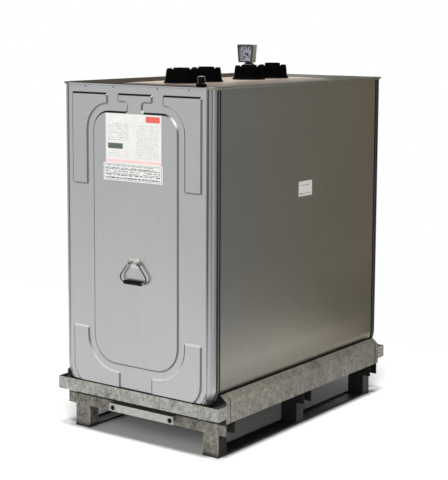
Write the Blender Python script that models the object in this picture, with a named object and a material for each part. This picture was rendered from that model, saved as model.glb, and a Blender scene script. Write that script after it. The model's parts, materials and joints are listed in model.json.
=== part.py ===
"""Double-walled storage tank standing on its steel pallet.

A moulded plastic inner tank sits in a sheet steel jacket. The jacket is a wrap of two walls and a
bottom, closed by two pressed end panels. Metres, +Z up, origin on the ground under the middle, and
the embossed front panel faces -Y.
"""
import math

import bmesh
import bpy
from mathutils import Vector

for leftover in list(bpy.data.objects):
    bpy.data.objects.remove(leftover, do_unlink=True)

# Running gap between pieces that touch
GAP = 0.0003

# Steel jacket
BODY_WIDTH = 0.760
BODY_LENGTH = 1.280
BODY_BOTTOM = 0.165
BOTTOM_RADIUS = 0.130
CORNER_RADIUS = 0.027
RIM_TOP = 1.457
SHEET = 0.002
PANEL_FLANGE = 0.612
SEAM_WIDTH = 0.026
SEAM_HEIGHT = 0.004
SEAM_FLOOR = 0.0045
SEAM_THICKNESS = 0.0020
PANEL_EDGE = 0.0055
BORDER_GROOVE = 0.0030
CORNER_CREASE = 0.0014
HEM_REACH = 0.009
HEM_HEIGHT = 0.010
HEM_SILL = 0.0035
PAD_RISE = 0.0045
PAD_SLOPE = 0.0075
PAD_GAP = 0.026
PAD_CORNER = 0.0095
NECK_FILLET = 0.012

# Raised fields pressed into an end panel, as distances from its middle line and heights
FIELD_HALF = 0.219
FIELD_TOP = 1.348
FIELD_BOTTOM = 0.316
FIELD_TOP_RADIUS = 0.080
FIELD_LOW_RADIUS = 0.112
NECK_HALF = 0.040
TAB_HALF = 0.090
TAB_BOTTOM = 1.383
PAD_TOP = 1.419
PAD_OUTER = 0.332
UPPER_PAD_INNER = 0.139
UPPER_PAD_BOTTOM = 1.044
LOWER_PAD_TOP = 0.457
LOWER_PAD_INNER = 0.080
LOWER_PAD_BOTTOM = 0.200
LOWER_PAD_RADIUS = 0.095

# Inner tank
TANK_WALL = 0.004
TANK_CLEARANCE = 0.035
TANK_FLOOR = BODY_BOTTOM + SHEET + GAP
TANK_SPLIT = 1.3900
TANK_SHOULDER = 1.4050
TANK_TOP = 1.4510
CREST_HALF_WIDTH = 0.200
CREST_HALF_LENGTH = 0.495
TANK_CORNER = 0.060
PORT_RADIUS = 0.050
CAP_STATIONS = (-0.344, -0.175, 0.138, 0.322)
CAP_RADIUS = 0.066
CAP_FLANGE_RADIUS = 0.072
CAP_HEIGHT = 0.063
CAP_LOBES = 8
CAP_SLOTS = 4
CAP_TURN = -9.0
CAP_NOTCH = 0.011
CAP_MOAT_OUTER = 0.046
CAP_MOAT_INNER = 0.035
CAP_MOAT_DEPTH = 0.012
CAP_HUB_RAISE = (0.0, 0.0, 0.0, 0.005)

# Level gauge on the third cap
GAUGE_STATION = CAP_STATIONS[2]
GAUGE_FRONT = 0.107
GAUGE_DEPTH = 0.032
GAUGE_POCKET = 0.0208
GAUGE_BOTTOM = 1.5255
GAUGE_TOP = 1.6030
GAUGE_HALF_TOP = 0.0420
GAUGE_HALF_LOW = 0.0350
GAUGE_RIM = 0.0040
DIAL_THICKNESS = 0.0025
HUB_HEIGHT = 1.5610

# Drop handle
HANDLE_PIVOT_HEIGHT = 0.745
HANDLE_STANDOFF = 0.0110
WIRE_RADIUS = 0.00325
BAIL_NECK = 0.0290
BAIL_SPREAD = 0.0660
BAIL_DROP = 0.0770
BAIL_BEND = 0.0200
GRIP_LENGTH = 0.088
GRIP_RADIUS = 0.0085
EAR_OFFSET = 0.0215
EAR_THICKNESS = 0.003
EYE_RADIUS = 0.0042

# Pallet
RAIL_SHEET = 0.003
RAIL_BOX_HALF_WIDTH = 0.418
RAIL_BOX_HALF_LENGTH = 0.6485
RAIL_BOTTOM = 0.168
RAIL_TOP = 0.220
RAIL_RETURN_END = 0.5935
RAIL_BEND = 0.006
SIDE_RAIL_FACE = 0.4163
SIDE_RAIL_BOTTOM = 0.147
SIDE_RAIL_KNEE = 0.236
SIDE_RAIL_TOP = 0.260
SIDE_RAIL_LIP = 0.386
SIDE_RAIL_END = 0.5925
SIDE_RAIL_STEP = 0.0015
SIDE_RAIL_STEP_STATION = 0.5675
CROSS_BOTTOM = 0.095
CROSS_TOP = BODY_BOTTOM - GAP
CROSS_WIDTH = 0.060
CROSS_STATION = 0.559
CROSS_HALF_LENGTH = SIDE_RAIL_FACE - RAIL_SHEET - GAP
FOOT_CENTRE = 0.336
FOOT_WIDTH = 0.079
RUNNER_HEIGHT = 0.009
TIE_HALF_LENGTH = 0.167
TIE_BOTTOM = 0.103
TIE_TOP = 0.137
TIE_FRONT = 0.612


def look(name, color, roughness, metallic):
    """Principled finish for one kind of surface."""
    material = bpy.data.materials.new(name)
    material.use_nodes = True
    shader = material.node_tree.nodes["Principled BSDF"]
    shader.inputs["Base Color"].default_value = (*color, 1.0)
    shader.inputs["Roughness"].default_value = roughness
    shader.inputs["Metallic"].default_value = metallic
    return material


COATED_STEEL = look("coated_steel", (0.42, 0.43, 0.43), 0.42, 0.75)
WALL_STEEL = look("wall_steel", (0.40, 0.40, 0.38), 0.45, 0.75)
DIP_ZINC = look("dip_zinc", (0.36, 0.36, 0.34), 0.55, 0.70)
BRIGHT_ZINC = look("bright_zinc", (0.58, 0.58, 0.55), 0.35, 0.85)
CREAM_PLASTIC = look("cream_plastic", (0.74, 0.66, 0.58), 0.50, 0.0)
BLACK_PLASTIC = look("black_plastic", (0.012, 0.012, 0.013), 0.45, 0.0)
CLEAR_PLASTIC = look("clear_plastic", (0.80, 0.82, 0.82), 0.10, 0.0)
GAUGE_GREY = look("gauge_grey", (0.50, 0.49, 0.44), 0.50, 0.0)
DIAL_WHITE = look("dial_white", (0.62, 0.61, 0.66), 0.55, 0.0)


def publish(name, body, finish, smooth=True):
    """Turn a bmesh into a named object with its finish."""
    bmesh.ops.recalc_face_normals(body, faces=body.faces)
    mesh = bpy.data.meshes.new(name)
    body.to_mesh(mesh)
    body.free()
    if smooth:
        mesh.shade_smooth()
        mesh.set_sharp_from_angle(angle=math.radians(30))
    mesh.materials.append(finish)
    item = bpy.data.objects.new(name, mesh)
    bpy.context.scene.collection.objects.link(item)
    return item


def settle(item):
    """Keep the shape that the modifiers make and drop the modifiers."""
    graph = bpy.context.evaluated_depsgraph_get()
    shape = bpy.data.meshes.new_from_object(item.evaluated_get(graph))
    item.modifiers.clear()
    item.data = shape
    return item


def combine(item, tool, operation):
    """Join or cut one solid with another and remove the tool."""
    change = item.modifiers.new(operation.lower(), "BOOLEAN")
    change.operation = operation
    change.solver = "EXACT"
    change.object = tool
    settle(item)
    bpy.data.objects.remove(tool, do_unlink=True)
    return item


def turned_twin(item, name):
    """The same piece on the opposite side, half a turn round the upright axis."""
    twin = bpy.data.objects.new(name, item.data)
    twin.rotation_euler = (0.0, 0.0, math.pi)
    bpy.context.scene.collection.objects.link(twin)
    return twin


def arc(centre, radius, start, stop, steps):
    """Points on an arc in a plane, angles in degrees."""
    points = []
    for step in range(steps + 1):
        angle = math.radians(start + (stop - start) * step / steps)
        points.append((centre[0] + radius * math.cos(angle), centre[1] + radius * math.sin(angle)))
    return points


def softened(outline, radius):
    """Round the sharp corners of a closed outline; radius is a function of the corner point."""
    points = []
    count = len(outline)
    for index, here in enumerate(outline):
        corner = Vector(here)
        back = Vector(outline[index - 1]) - corner
        ahead = Vector(outline[(index + 1) % count]) - corner
        turn = math.pi - back.angle(ahead)
        if turn < math.radians(40):
            points.append(here)
            continue
        reach = min(radius(here) * math.tan(turn / 2), 0.45 * back.length, 0.45 * ahead.length)
        start = corner + back.normalized() * reach
        stop = corner + ahead.normalized() * reach
        for share in (0.0, 0.33, 0.67, 1.0):
            blend = start.lerp(corner, share).lerp(corner.lerp(stop, share), share)
            points.append((blend.x, blend.y))
    return points


def placed(point, axis, along):
    """A plane point lifted into space with its distance along the extrusion axis."""
    first, second = point
    if axis == "X":
        return (along, first, second)
    if axis == "Y":
        return (first, along, second)
    return (first, second, along)


def add_prism(body, outline, axis, low, high):
    """Extrude a closed outline along an axis inside a bmesh."""
    near = [body.verts.new(placed(point, axis, low)) for point in outline]
    far = [body.verts.new(placed(point, axis, high)) for point in outline]
    body.faces.new(near)
    body.faces.new(far)
    for index in range(len(outline)):
        after = (index + 1) % len(outline)
        body.faces.new((near[index], near[after], far[after], far[index]))


def prism(name, outline, axis, low, high, finish, smooth=True):
    """One extruded solid."""
    body = bmesh.new()
    add_prism(body, outline, axis, low, high)
    return publish(name, body, finish, smooth)


def rectangle(low, high):
    """Four corners of a rectangle."""
    return [(low[0], low[1]), (high[0], low[1]), (high[0], high[1]), (low[0], high[1])]


def block(name, low, high, finish):
    """A plain rectangular solid between two corners."""
    return prism(name, rectangle(low[:2], high[:2]), "Z", low[2], high[2], finish, smooth=False)


def barrel(name, centre, radius, low, high, axis, finish, sides=32):
    """A round solid along an axis."""
    return prism(name, arc(centre, radius, 0, 360 * (sides - 1) / sides, sides - 1), axis, low, high, finish)


# Cross-section of the jacket seen from the front
def jacket_path(inset, top, start=180, stop=360):
    """Wall, bottom corner, bottom, corner and wall, set in from the outer face."""
    half = BODY_WIDTH / 2 - BOTTOM_RADIUS
    height = BODY_BOTTOM + BOTTOM_RADIUS
    radius = BOTTOM_RADIUS - inset
    points = []
    if start == 180:
        points.append((-BODY_WIDTH / 2 + inset, top))
    if start < 270:
        points += arc((-half, height), radius, start, min(stop, 270), 8)
    if stop > 270:
        points += arc((half, height), radius, 270, stop, 8)
    if stop == 360:
        points.append((BODY_WIDTH / 2 - inset, top))
    return points


def sweep(name, profile, path, finish):
    """Run a closed profile of (inset, y) points along a jacket path."""
    body = bmesh.new()
    rings = [[body.verts.new((x, y, z)) for x, z in path(inset)] for inset, y in profile]
    for index, ring in enumerate(rings):
        other = rings[(index + 1) % len(rings)]
        for step in range(len(ring) - 1):
            body.faces.new((ring[step], ring[step + 1], other[step + 1], other[step]))
    body.faces.new([ring[0] for ring in rings])
    body.faces.new([ring[-1] for ring in rings])
    return publish(name, body, finish)


def rounded_edge(radius, inset, depth, steps=5):
    """(inset, y) points that round a flat end face into the walls, from wall to face."""
    points = []
    for step in range(steps + 1):
        angle = math.radians(90 * step / steps)
        across = radius * (1 - math.cos(angle)) + inset
        points.append((across, depth + radius * (1 - math.sin(angle))))
    return points


def open_pan(name, outer, inner, path, finish):
    """A dished panel, outer skin first: both lists run from the flange to the flat face."""
    body = bmesh.new()
    skins = []
    for profile in (outer, inner):
        rings = [[body.verts.new((x, y, z)) for x, z in path(inset)] for inset, y in profile]
        for ring, other in zip(rings, rings[1:]):
            for step in range(len(ring) - 1):
                body.faces.new((ring[step], ring[step + 1], other[step + 1], other[step]))
        body.faces.new(rings[-1])
        skins.append(rings)
    outside, inside = skins
    for step in range(len(outside[0]) - 1):
        body.faces.new((outside[0][step], outside[0][step + 1], inside[0][step + 1], inside[0][step]))
    edge = [ring[0] for ring in outside] + [ring[-1] for ring in reversed(outside)]
    edge += [ring[-1] for ring in inside] + [ring[0] for ring in reversed(inside)]
    body.faces.new(edge)
    return publish(name, body, finish)


def raised_field(body, outline):
    """One pressed field: a low solid with sloping sides that stands out of the panel."""
    root = -BODY_LENGTH / 2 + SHEET / 2
    face = -BODY_LENGTH / 2
    near = [body.verts.new((x, root, z)) for x, z in outline]
    far = [body.verts.new((x, face, z)) for x, z in outline]
    body.faces.new(near)
    front = body.faces.new(far)
    for index in range(len(outline)):
        after = (index + 1) % len(outline)
        body.faces.new((near[index], near[after], far[after], far[index]))
    bmesh.ops.recalc_face_normals(body, faces=body.faces)
    bmesh.ops.inset_region(body, faces=[front], thickness=PAD_SLOPE, depth=PAD_RISE, use_even_offset=True)


def field_outlines():
    """Outlines of the pressed fields of an end panel."""
    top_x = FIELD_HALF - FIELD_TOP_RADIUS
    top_z = FIELD_TOP - FIELD_TOP_RADIUS
    low_x = FIELD_HALF - FIELD_LOW_RADIUS
    low_z = FIELD_BOTTOM + FIELD_LOW_RADIUS
    centre = [(-NECK_HALF, FIELD_TOP), (-NECK_HALF, TAB_BOTTOM), (-TAB_HALF, TAB_BOTTOM)]
    centre += [(-TAB_HALF, PAD_TOP), (TAB_HALF, PAD_TOP), (TAB_HALF, TAB_BOTTOM)]
    centre += [(NECK_HALF, TAB_BOTTOM), (NECK_HALF, FIELD_TOP)]
    centre += arc((top_x, top_z), FIELD_TOP_RADIUS, 90, 0, 8)
    centre += arc((low_x, low_z), FIELD_LOW_RADIUS, 0, -90, 9)
    centre += arc((-low_x, low_z), FIELD_LOW_RADIUS, 270, 180, 9)
    centre += arc((-top_x, top_z), FIELD_TOP_RADIUS, 180, 90, 8)
    outlines = [centre]
    for side in (-1, 1):
        upper = arc((top_x, top_z), FIELD_TOP_RADIUS + PAD_GAP, 0, 90, 8)
        upper += [(UPPER_PAD_INNER, PAD_TOP), (PAD_OUTER, PAD_TOP)]
        upper += [(PAD_OUTER, UPPER_PAD_BOTTOM), (FIELD_HALF + PAD_GAP, UPPER_PAD_BOTTOM)]
        lower = arc((low_x, low_z), FIELD_LOW_RADIUS + PAD_GAP, 0, -90, 9)
        lower += [(LOWER_PAD_INNER, low_z - FIELD_LOW_RADIUS - PAD_GAP), (LOWER_PAD_INNER, LOWER_PAD_BOTTOM)]
        corner = (PAD_OUTER - LOWER_PAD_RADIUS, LOWER_PAD_BOTTOM + LOWER_PAD_RADIUS)
        lower += arc(corner, LOWER_PAD_RADIUS, -90, 0, 6)
        lower += [(PAD_OUTER, LOWER_PAD_TOP), (FIELD_HALF + PAD_GAP, LOWER_PAD_TOP)]
        outlines += [[(side * x, z) for x, z in upper], [(side * x, z) for x, z in lower]]
    return outlines


def field_corner(point):
    """Corner radius of a raised field at a point: wide where the neck leaves the field."""
    return NECK_FILLET if abs(point[0]) <= NECK_HALF else PAD_CORNER


def creased_corner():
    """(inset, y) points of the panel's rounded border, with a crease halfway and a groove round the flat face."""
    points = []
    for turn, sunk in (
        (0, 0.0), (20, 0.0), (40, 0.0), (42.5, CORNER_CREASE), (47.5, CORNER_CREASE), (50, 0.0), (62, 0.0),
        (74, 0.0), (76.5, BORDER_GROOVE), (86, BORDER_GROOVE), (90, 0.0),
    ):
        angle = math.radians(turn)
        across = CORNER_RADIUS * (1 - math.cos(angle)) + sunk * math.cos(angle)
        points.append((across, -BODY_LENGTH / 2 + CORNER_RADIUS * (1 - math.sin(angle)) + sunk * math.sin(angle)))
    return points


def make_end_panels():
    """Pressed end panels, with their raised fields and the folded hem along the top."""
    outer = [(0.0, -PANEL_FLANGE)] + creased_corner()
    edge = PANEL_EDGE
    inner = [(edge, -PANEL_FLANGE)] + rounded_edge(CORNER_RADIUS - edge, edge, -BODY_LENGTH / 2 + edge)
    inner.append((CORNER_RADIUS + 0.008, -BODY_LENGTH / 2 + SHEET))
    panel = open_pan("front_panel", outer, inner, lambda inset: jacket_path(inset, RIM_TOP), COATED_STEEL)
    fields = bmesh.new()
    for outline in field_outlines():
        raised_field(fields, softened(outline, field_corner))
    combine(panel, publish("fields", fields, COATED_STEEL), "UNION")
    face = -BODY_LENGTH / 2
    hem = [(face + SHEET / 2, RIM_TOP - HEM_HEIGHT), (face - HEM_SILL, RIM_TOP - HEM_HEIGHT + 0.002)]
    hem += [(face - HEM_SILL, RIM_TOP - 0.0025), (face - 0.001, RIM_TOP - 0.0002)]
    hem += [(face + SHEET / 2, RIM_TOP - 0.0002)]
    half = BODY_WIDTH / 2 - CORNER_RADIUS
    combine(panel, prism("hem", hem, "X", -half, half, COATED_STEEL), "UNION")
    turned_twin(panel, "back_panel")


def make_seams():
    """Folded seams between the end panels and the wrap: a ridge between two grooves, all round the section."""
    start = PANEL_FLANGE - GAP
    back = SEAM_FLOOR + SEAM_THICKNESS
    profile = [(back, -start), (back, -start + SEAM_WIDTH)]
    for inset, along in (
        (0.0005, SEAM_WIDTH), (0.0005, SEAM_WIDTH - 0.0010), (SEAM_FLOOR, SEAM_WIDTH - 0.0016),
        (SEAM_FLOOR, 0.0176), (0.0005, 0.0170), (-SEAM_HEIGHT + 0.0006, 0.0126), (-SEAM_HEIGHT, 0.0118),
        (-SEAM_HEIGHT, 0.0072), (-SEAM_HEIGHT + 0.0006, 0.0064), (SEAM_FLOOR, 0.0060), (SEAM_FLOOR, 0.0016),
        (0.0005, 0.0010), (0.0005, 0.0),
    ):
        profile.append((inset, -start + along))
    seam = sweep("front_seam", profile, lambda inset: jacket_path(inset, RIM_TOP - 0.012), COATED_STEEL)
    turned_twin(seam, "back_seam")
    return start - SEAM_WIDTH - GAP


def make_wrap(reach):
    """Side walls and the bottom sheet between the two seams."""
    split = 216
    strip = [(0.0, -reach), (SHEET, -reach), (SHEET, reach), (0.0, reach)]
    wall = sweep("left_wall", strip, lambda inset: jacket_path(inset, RIM_TOP, 180, split), WALL_STEEL)
    turned_twin(wall, "right_wall")
    gap_angle = math.degrees(GAP / BOTTOM_RADIUS)
    sweep(
        "bottom_sheet",
        strip,
        lambda inset: jacket_path(inset, RIM_TOP, split + gap_angle, 540 - split - gap_angle),
        WALL_STEEL,
    )


def make_rims():
    """Flared hems along the top of the side walls, carried round the panel corners."""
    half_x = BODY_WIDTH / 2 - CORNER_RADIUS
    half_y = BODY_LENGTH / 2 - CORNER_RADIUS
    section = [(GAP, RIM_TOP), (HEM_REACH - 0.001, RIM_TOP - 0.0003), (HEM_REACH, RIM_TOP - 0.0020)]
    section += [(HEM_REACH - 0.001, RIM_TOP - 0.0050), (HEM_REACH - 0.005, RIM_TOP - HEM_HEIGHT)]
    section += [(GAP, RIM_TOP - HEM_HEIGHT + 0.001)]
    body = bmesh.new()
    rings = []
    for reach, height in section:
        route = arc((-half_x, -half_y), CORNER_RADIUS + reach, 270, 180, 6)
        route += arc((-half_x, half_y), CORNER_RADIUS + reach, 180, 90, 6)
        rings.append([body.verts.new((x, y, height)) for x, y in route])
    for index, ring in enumerate(rings):
        other = rings[(index + 1) % len(rings)]
        for step in range(len(ring) - 1):
            body.faces.new((ring[step], ring[step + 1], other[step + 1], other[step]))
    body.faces.new([ring[0] for ring in rings])
    body.faces.new([ring[-1] for ring in rings])
    rim = publish("left_rim", body, WALL_STEEL)
    turned_twin(rim, "right_rim")


def make_inner_tank():
    """Lower shell of the plastic tank, open at the top, and the domed top that closes it."""
    side = TANK_CLEARANCE
    end = BODY_LENGTH / 2 - TANK_CLEARANCE
    radius = 0.045

    def tank_path(inset):
        points = []
        for x, z in jacket_path(inset, TANK_SPLIT):
            points.append((x, z if z == TANK_SPLIT else z - side + TANK_FLOOR - BODY_BOTTOM))
        return points

    skins = []
    for wall in (0.0, TANK_WALL):
        near = [(side + inset, y) for inset, y in rounded_edge(radius - wall, wall, -end + wall)]
        skins.append(list(reversed(near)) + [(inset, -y) for inset, y in near])
    body = bmesh.new()
    solid = []
    for profile in skins:
        rings = [[body.verts.new((x, y, z)) for x, z in tank_path(inset)] for inset, y in profile]
        for ring, other in zip(rings, rings[1:]):
            for step in range(len(ring) - 1):
                body.faces.new((ring[step], ring[step + 1], other[step + 1], other[step]))
        body.faces.new(rings[0])
        body.faces.new(rings[-1])
        solid.append(rings)
    outside, inside = solid
    for index in range(len(outside) - 1):
        for end_step in (0, -1):
            body.faces.new(
                (
                    outside[index][end_step],
                    outside[index + 1][end_step],
                    inside[index + 1][end_step],
                    inside[index][end_step],
                )
            )
    for index in (0, -1):
        body.faces.new((outside[index][0], outside[index][-1], inside[index][-1], inside[index][0]))
    publish("inner_tank_body", body, CREAM_PLASTIC)


def rounded_loop(half_x, half_y, radius, steps=5):
    """Closed rectangle with round corners."""
    corner_x = half_x - radius
    corner_y = half_y - radius
    points = []
    for turn, (sx, sy) in enumerate(((1, 1), (-1, 1), (-1, -1), (1, -1))):
        points += arc((sx * corner_x, sy * corner_y), radius, 90 * turn, 90 * turn + 90, steps)
    return points


def make_tank_top():
    """Domed top of the plastic tank with its filling and fitting ports."""
    half_x = BODY_WIDTH / 2 - TANK_CLEARANCE
    half_y = BODY_LENGTH / 2 - TANK_CLEARANCE
    low = TANK_SPLIT + GAP
    levels = [(half_x, half_y, 0.045, low), (half_x, half_y, 0.045, TANK_SHOULDER - 0.012)]
    levels += [(half_x - 0.012, half_y - 0.006, 0.045, TANK_SHOULDER + 0.004)]
    levels += [(CREST_HALF_WIDTH + 0.030, CREST_HALF_LENGTH + 0.012, 0.080, TANK_TOP - 0.006)]
    levels += [(CREST_HALF_WIDTH, CREST_HALF_LENGTH, 0.080, TANK_TOP)]
    body = bmesh.new()
    skins = []
    for wall in (0.0, TANK_WALL):
        rings = []
        for index, (x, y, radius, z) in enumerate(levels):
            drop = wall if index > 0 else 0.0
            loop = rounded_loop(x - wall, y - wall, radius - wall)
            rings.append([body.verts.new((px, py, z - drop)) for px, py in loop])
        for ring, other in zip(rings, rings[1:]):
            for step in range(len(ring)):
                after = (step + 1) % len(ring)
                body.faces.new((ring[step], ring[after], other[after], other[step]))
        body.faces.new(rings[-1])
        skins.append(rings[0])
    for step in range(len(skins[0])):
        after = (step + 1) % len(skins[0])
        body.faces.new((skins[0][step], skins[0][after], skins[1][after], skins[1][step]))
    top = publish("inner_tank_top", body, CREAM_PLASTIC)
    ports = bmesh.new()
    for station in CAP_STATIONS:
        ring = arc((0.0, station), PORT_RADIUS, 0, 360 * 31 / 32, 31)
        add_prism(ports, ring, "Z", TANK_TOP - 0.02, TANK_TOP + 0.02)
    combine(top, publish("ports", ports, CREAM_PLASTIC), "DIFFERENCE")


def cap_ring(body, centre, radius, lobe, height, notch):
    """One ring of a screw cap: lobe pulls the outline in between the hand grips, and notch cuts the key slots."""
    ring = []
    count = CAP_LOBES * 6
    for index in range(count):
        angle = 2 * math.pi * index / count
        hollow = (0.5 + 0.5 * math.cos(CAP_LOBES * angle)) ** 2
        reach = radius - lobe * hollow
        away = min(index * CAP_SLOTS % count, -index * CAP_SLOTS % count) / CAP_SLOTS
        sunk = notch * max(0.0, 1.0 - max(0.0, away - 0.4) / 1.2)
        turn = angle + math.radians(CAP_TURN)
        place = (reach * math.cos(turn), centre + reach * math.sin(turn), height - sunk)
        ring.append(body.verts.new(place))
    return ring


def make_caps():
    """Lobed screw caps, each with a plug in its port, a notched rim and a round hub inside it."""
    base = TANK_TOP + GAP
    top = base + CAP_HEIGHT
    for number, station in enumerate(CAP_STATIONS, start=1):
        hub = top + CAP_HUB_RAISE[number - 1]
        levels = [(PORT_RADIUS - 0.002, 0.0, base - 0.012, 0.0), (PORT_RADIUS - 0.002, 0.0, base, 0.0)]
        levels += [(CAP_FLANGE_RADIUS, 0.0, base, 0.0), (CAP_FLANGE_RADIUS, 0.0, base + 0.004, 0.0)]
        levels += [(CAP_RADIUS + 0.001, 0.002, base + 0.014, 0.0), (CAP_RADIUS - 0.001, 0.004, top - 0.020, 0.0)]
        levels += [(CAP_RADIUS - 0.003, 0.004, top - 0.007, CAP_NOTCH - 0.004)]
        levels += [(CAP_RADIUS - 0.006, 0.003, top - 0.003, CAP_NOTCH)]
        levels += [(CAP_MOAT_OUTER, 0.0, top - 0.003, CAP_NOTCH)]
        levels += [(CAP_MOAT_OUTER - 0.002, 0.0, top - 0.003 - CAP_MOAT_DEPTH, 0.0)]
        levels += [(CAP_MOAT_INNER, 0.0, top - 0.003 - CAP_MOAT_DEPTH, 0.0)]
        levels += [(CAP_MOAT_INNER - 0.001, 0.0, hub - 0.002, 0.0), (CAP_MOAT_INNER - 0.004, 0.0, hub, 0.0)]
        body = bmesh.new()
        rings = [cap_ring(body, station, *level) for level in levels]
        for ring, other in zip(rings, rings[1:]):
            for step in range(len(ring)):
                after = (step + 1) % len(ring)
                body.faces.new((ring[step], ring[after], other[after], other[step]))
        body.faces.new(rings[0])
        body.faces.new(rings[-1])
        publish(f"cap_{number}", body, BLACK_PLASTIC)


def gauge_outline(margin):
    """Front of the gauge head, wider at the top."""
    return [
        (-GAUGE_HALF_LOW + margin, GAUGE_BOTTOM + margin),
        (GAUGE_HALF_LOW - margin, GAUGE_BOTTOM + margin),
        (GAUGE_HALF_TOP - margin, GAUGE_TOP - margin),
        (-GAUGE_HALF_TOP + margin, GAUGE_TOP - margin),
    ]


def make_gauge():
    """Float gauge: stem, head, dial, pointer and window."""
    cap_top = TANK_TOP + GAP + CAP_HEIGHT
    stem_low = cap_top + GAP
    body = bmesh.new()
    rings = []
    for radius, height in ((0.024, stem_low), (0.024, stem_low + 0.004), (0.017, stem_low + 0.006), (0.017, GAUGE_BOTTOM - GAP)):
        rings.append([body.verts.new((x, y, height)) for x, y in arc((0.0, GAUGE_STATION), radius, 0, 345, 23)])
    for ring, other in zip(rings, rings[1:]):
        for step in range(len(ring)):
            after = (step + 1) % len(ring)
            body.faces.new((ring[step], ring[after], other[after], other[step]))
    body.faces.new(rings[0])
    body.faces.new(rings[-1])
    publish("gauge_stem", body, GAUGE_GREY)

    back = GAUGE_FRONT + GAUGE_DEPTH
    floor = GAUGE_FRONT + GAUGE_POCKET
    housing = prism("gauge_housing", gauge_outline(0.0), "Y", GAUGE_FRONT, back, GAUGE_GREY)
    pocket = prism("pocket", gauge_outline(GAUGE_RIM), "Y", GAUGE_FRONT - 0.01, floor, GAUGE_GREY)
    combine(housing, pocket, "DIFFERENCE")
    dial_front = floor - GAP - DIAL_THICKNESS
    dial = prism("gauge_dial", gauge_outline(GAUGE_RIM + GAP), "Y", dial_front, floor - GAP, DIAL_WHITE)
    shaft_hole = barrel("hole", (0.0, HUB_HEIGHT), 0.0024, dial_front - 0.01, floor + 0.01, "Y", DIAL_WHITE, 16)
    combine(dial, shaft_hole, "DIFFERENCE")
    window_back = GAUGE_FRONT + 0.004
    prism("gauge_window", gauge_outline(GAUGE_RIM + GAP), "Y", window_back - 0.0025, window_back, CLEAR_PLASTIC)

    blade_back = dial_front - 0.0055
    needle = barrel("gauge_needle", (0.0, 0.0), 0.0055, blade_back - 0.0030, dial_front - 0.0003, "Y", BLACK_PLASTIC, 24)
    shaft = barrel("shaft", (0.0, 0.0), 0.0020, dial_front - 0.002, floor - 0.0005, "Y", BLACK_PLASTIC, 16)
    combine(needle, shaft, "UNION")
    rest = math.radians(-40)
    along = Vector((math.cos(rest), 0.0, math.sin(rest)))
    across = Vector((-math.sin(rest), 0.0, math.cos(rest)))
    blade = []
    for length, width in ((-0.010, 0.0016), (0.004, 0.0022), (0.025, 0.0006)):
        blade.append((length, width))
    outline = [(along * length - across * width) for length, width in blade]
    outline += [(along * length + across * width) for length, width in reversed(blade)]
    flat = [(point.x, point.z) for point in outline]
    pointer = prism("pointer", flat, "Y", blade_back - 0.0022, blade_back - 0.0007, BLACK_PLASTIC, smooth=False)
    combine(needle, pointer, "UNION")
    needle.location = (0.0, 0.0, HUB_HEIGHT)


def make_leak_indicator():
    """Float indicator clipped over the front rim near the right corner."""
    left = 0.3000
    right = 0.3340
    front = -BODY_LENGTH / 2 + 0.0003
    top = RIM_TOP + GAP
    clip = [(front, top), (front + 0.0030, top), (front + 0.0030, top - 0.022), (front + 0.0070, top - 0.022)]
    clip += [(front + 0.0070, top), (front + 0.0235, top), (front + 0.0235, top + 0.011), (front, top + 0.012)]
    prism("leak_indicator_base", clip, "X", left, right, BLACK_PLASTIC)
    dome = bmesh.new()
    middle = ((left + right) / 2, front + 0.012)
    base = top + 0.012 + GAP
    rings = []
    for half, height in ((0.0095, base), (0.0095, base + 0.020), (0.0087, base + 0.025), (0.0068, base + 0.0275)):
        ring = rounded_loop(half + 0.0045, half, 0.006, 4)
        rings.append([dome.verts.new((middle[0] + x, middle[1] + y, height)) for x, y in ring])
    for ring, other in zip(rings, rings[1:]):
        for step in range(len(ring)):
            after = (step + 1) % len(ring)
            dome.faces.new((ring[step], ring[after], other[after], other[step]))
    dome.faces.new(rings[0])
    dome.faces.new(rings[-1])
    publish("leak_indicator_dome", dome, CLEAR_PLASTIC)


def bail_route():
    """Centre line of the wire from one eye to the other, seen from the front."""
    leg = Vector((BAIL_SPREAD - BAIL_NECK, -(BAIL_DROP - BAIL_BEND)))
    half = [(0.0120, 0.0), (BAIL_NECK - 0.004, 0.0), (BAIL_NECK, -0.004)]
    bend_x = BAIL_SPREAD - BAIL_BEND
    turn = math.degrees(math.atan2(leg.x, -leg.y))
    half += arc((bend_x, -BAIL_DROP + BAIL_BEND), BAIL_BEND, turn, -90, 7)
    right = [Vector((x, 0.0, z)) for x, z in half]
    left = [Vector((-point.x, 0.0, point.z)) for point in reversed(right)]
    return right + left


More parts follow.
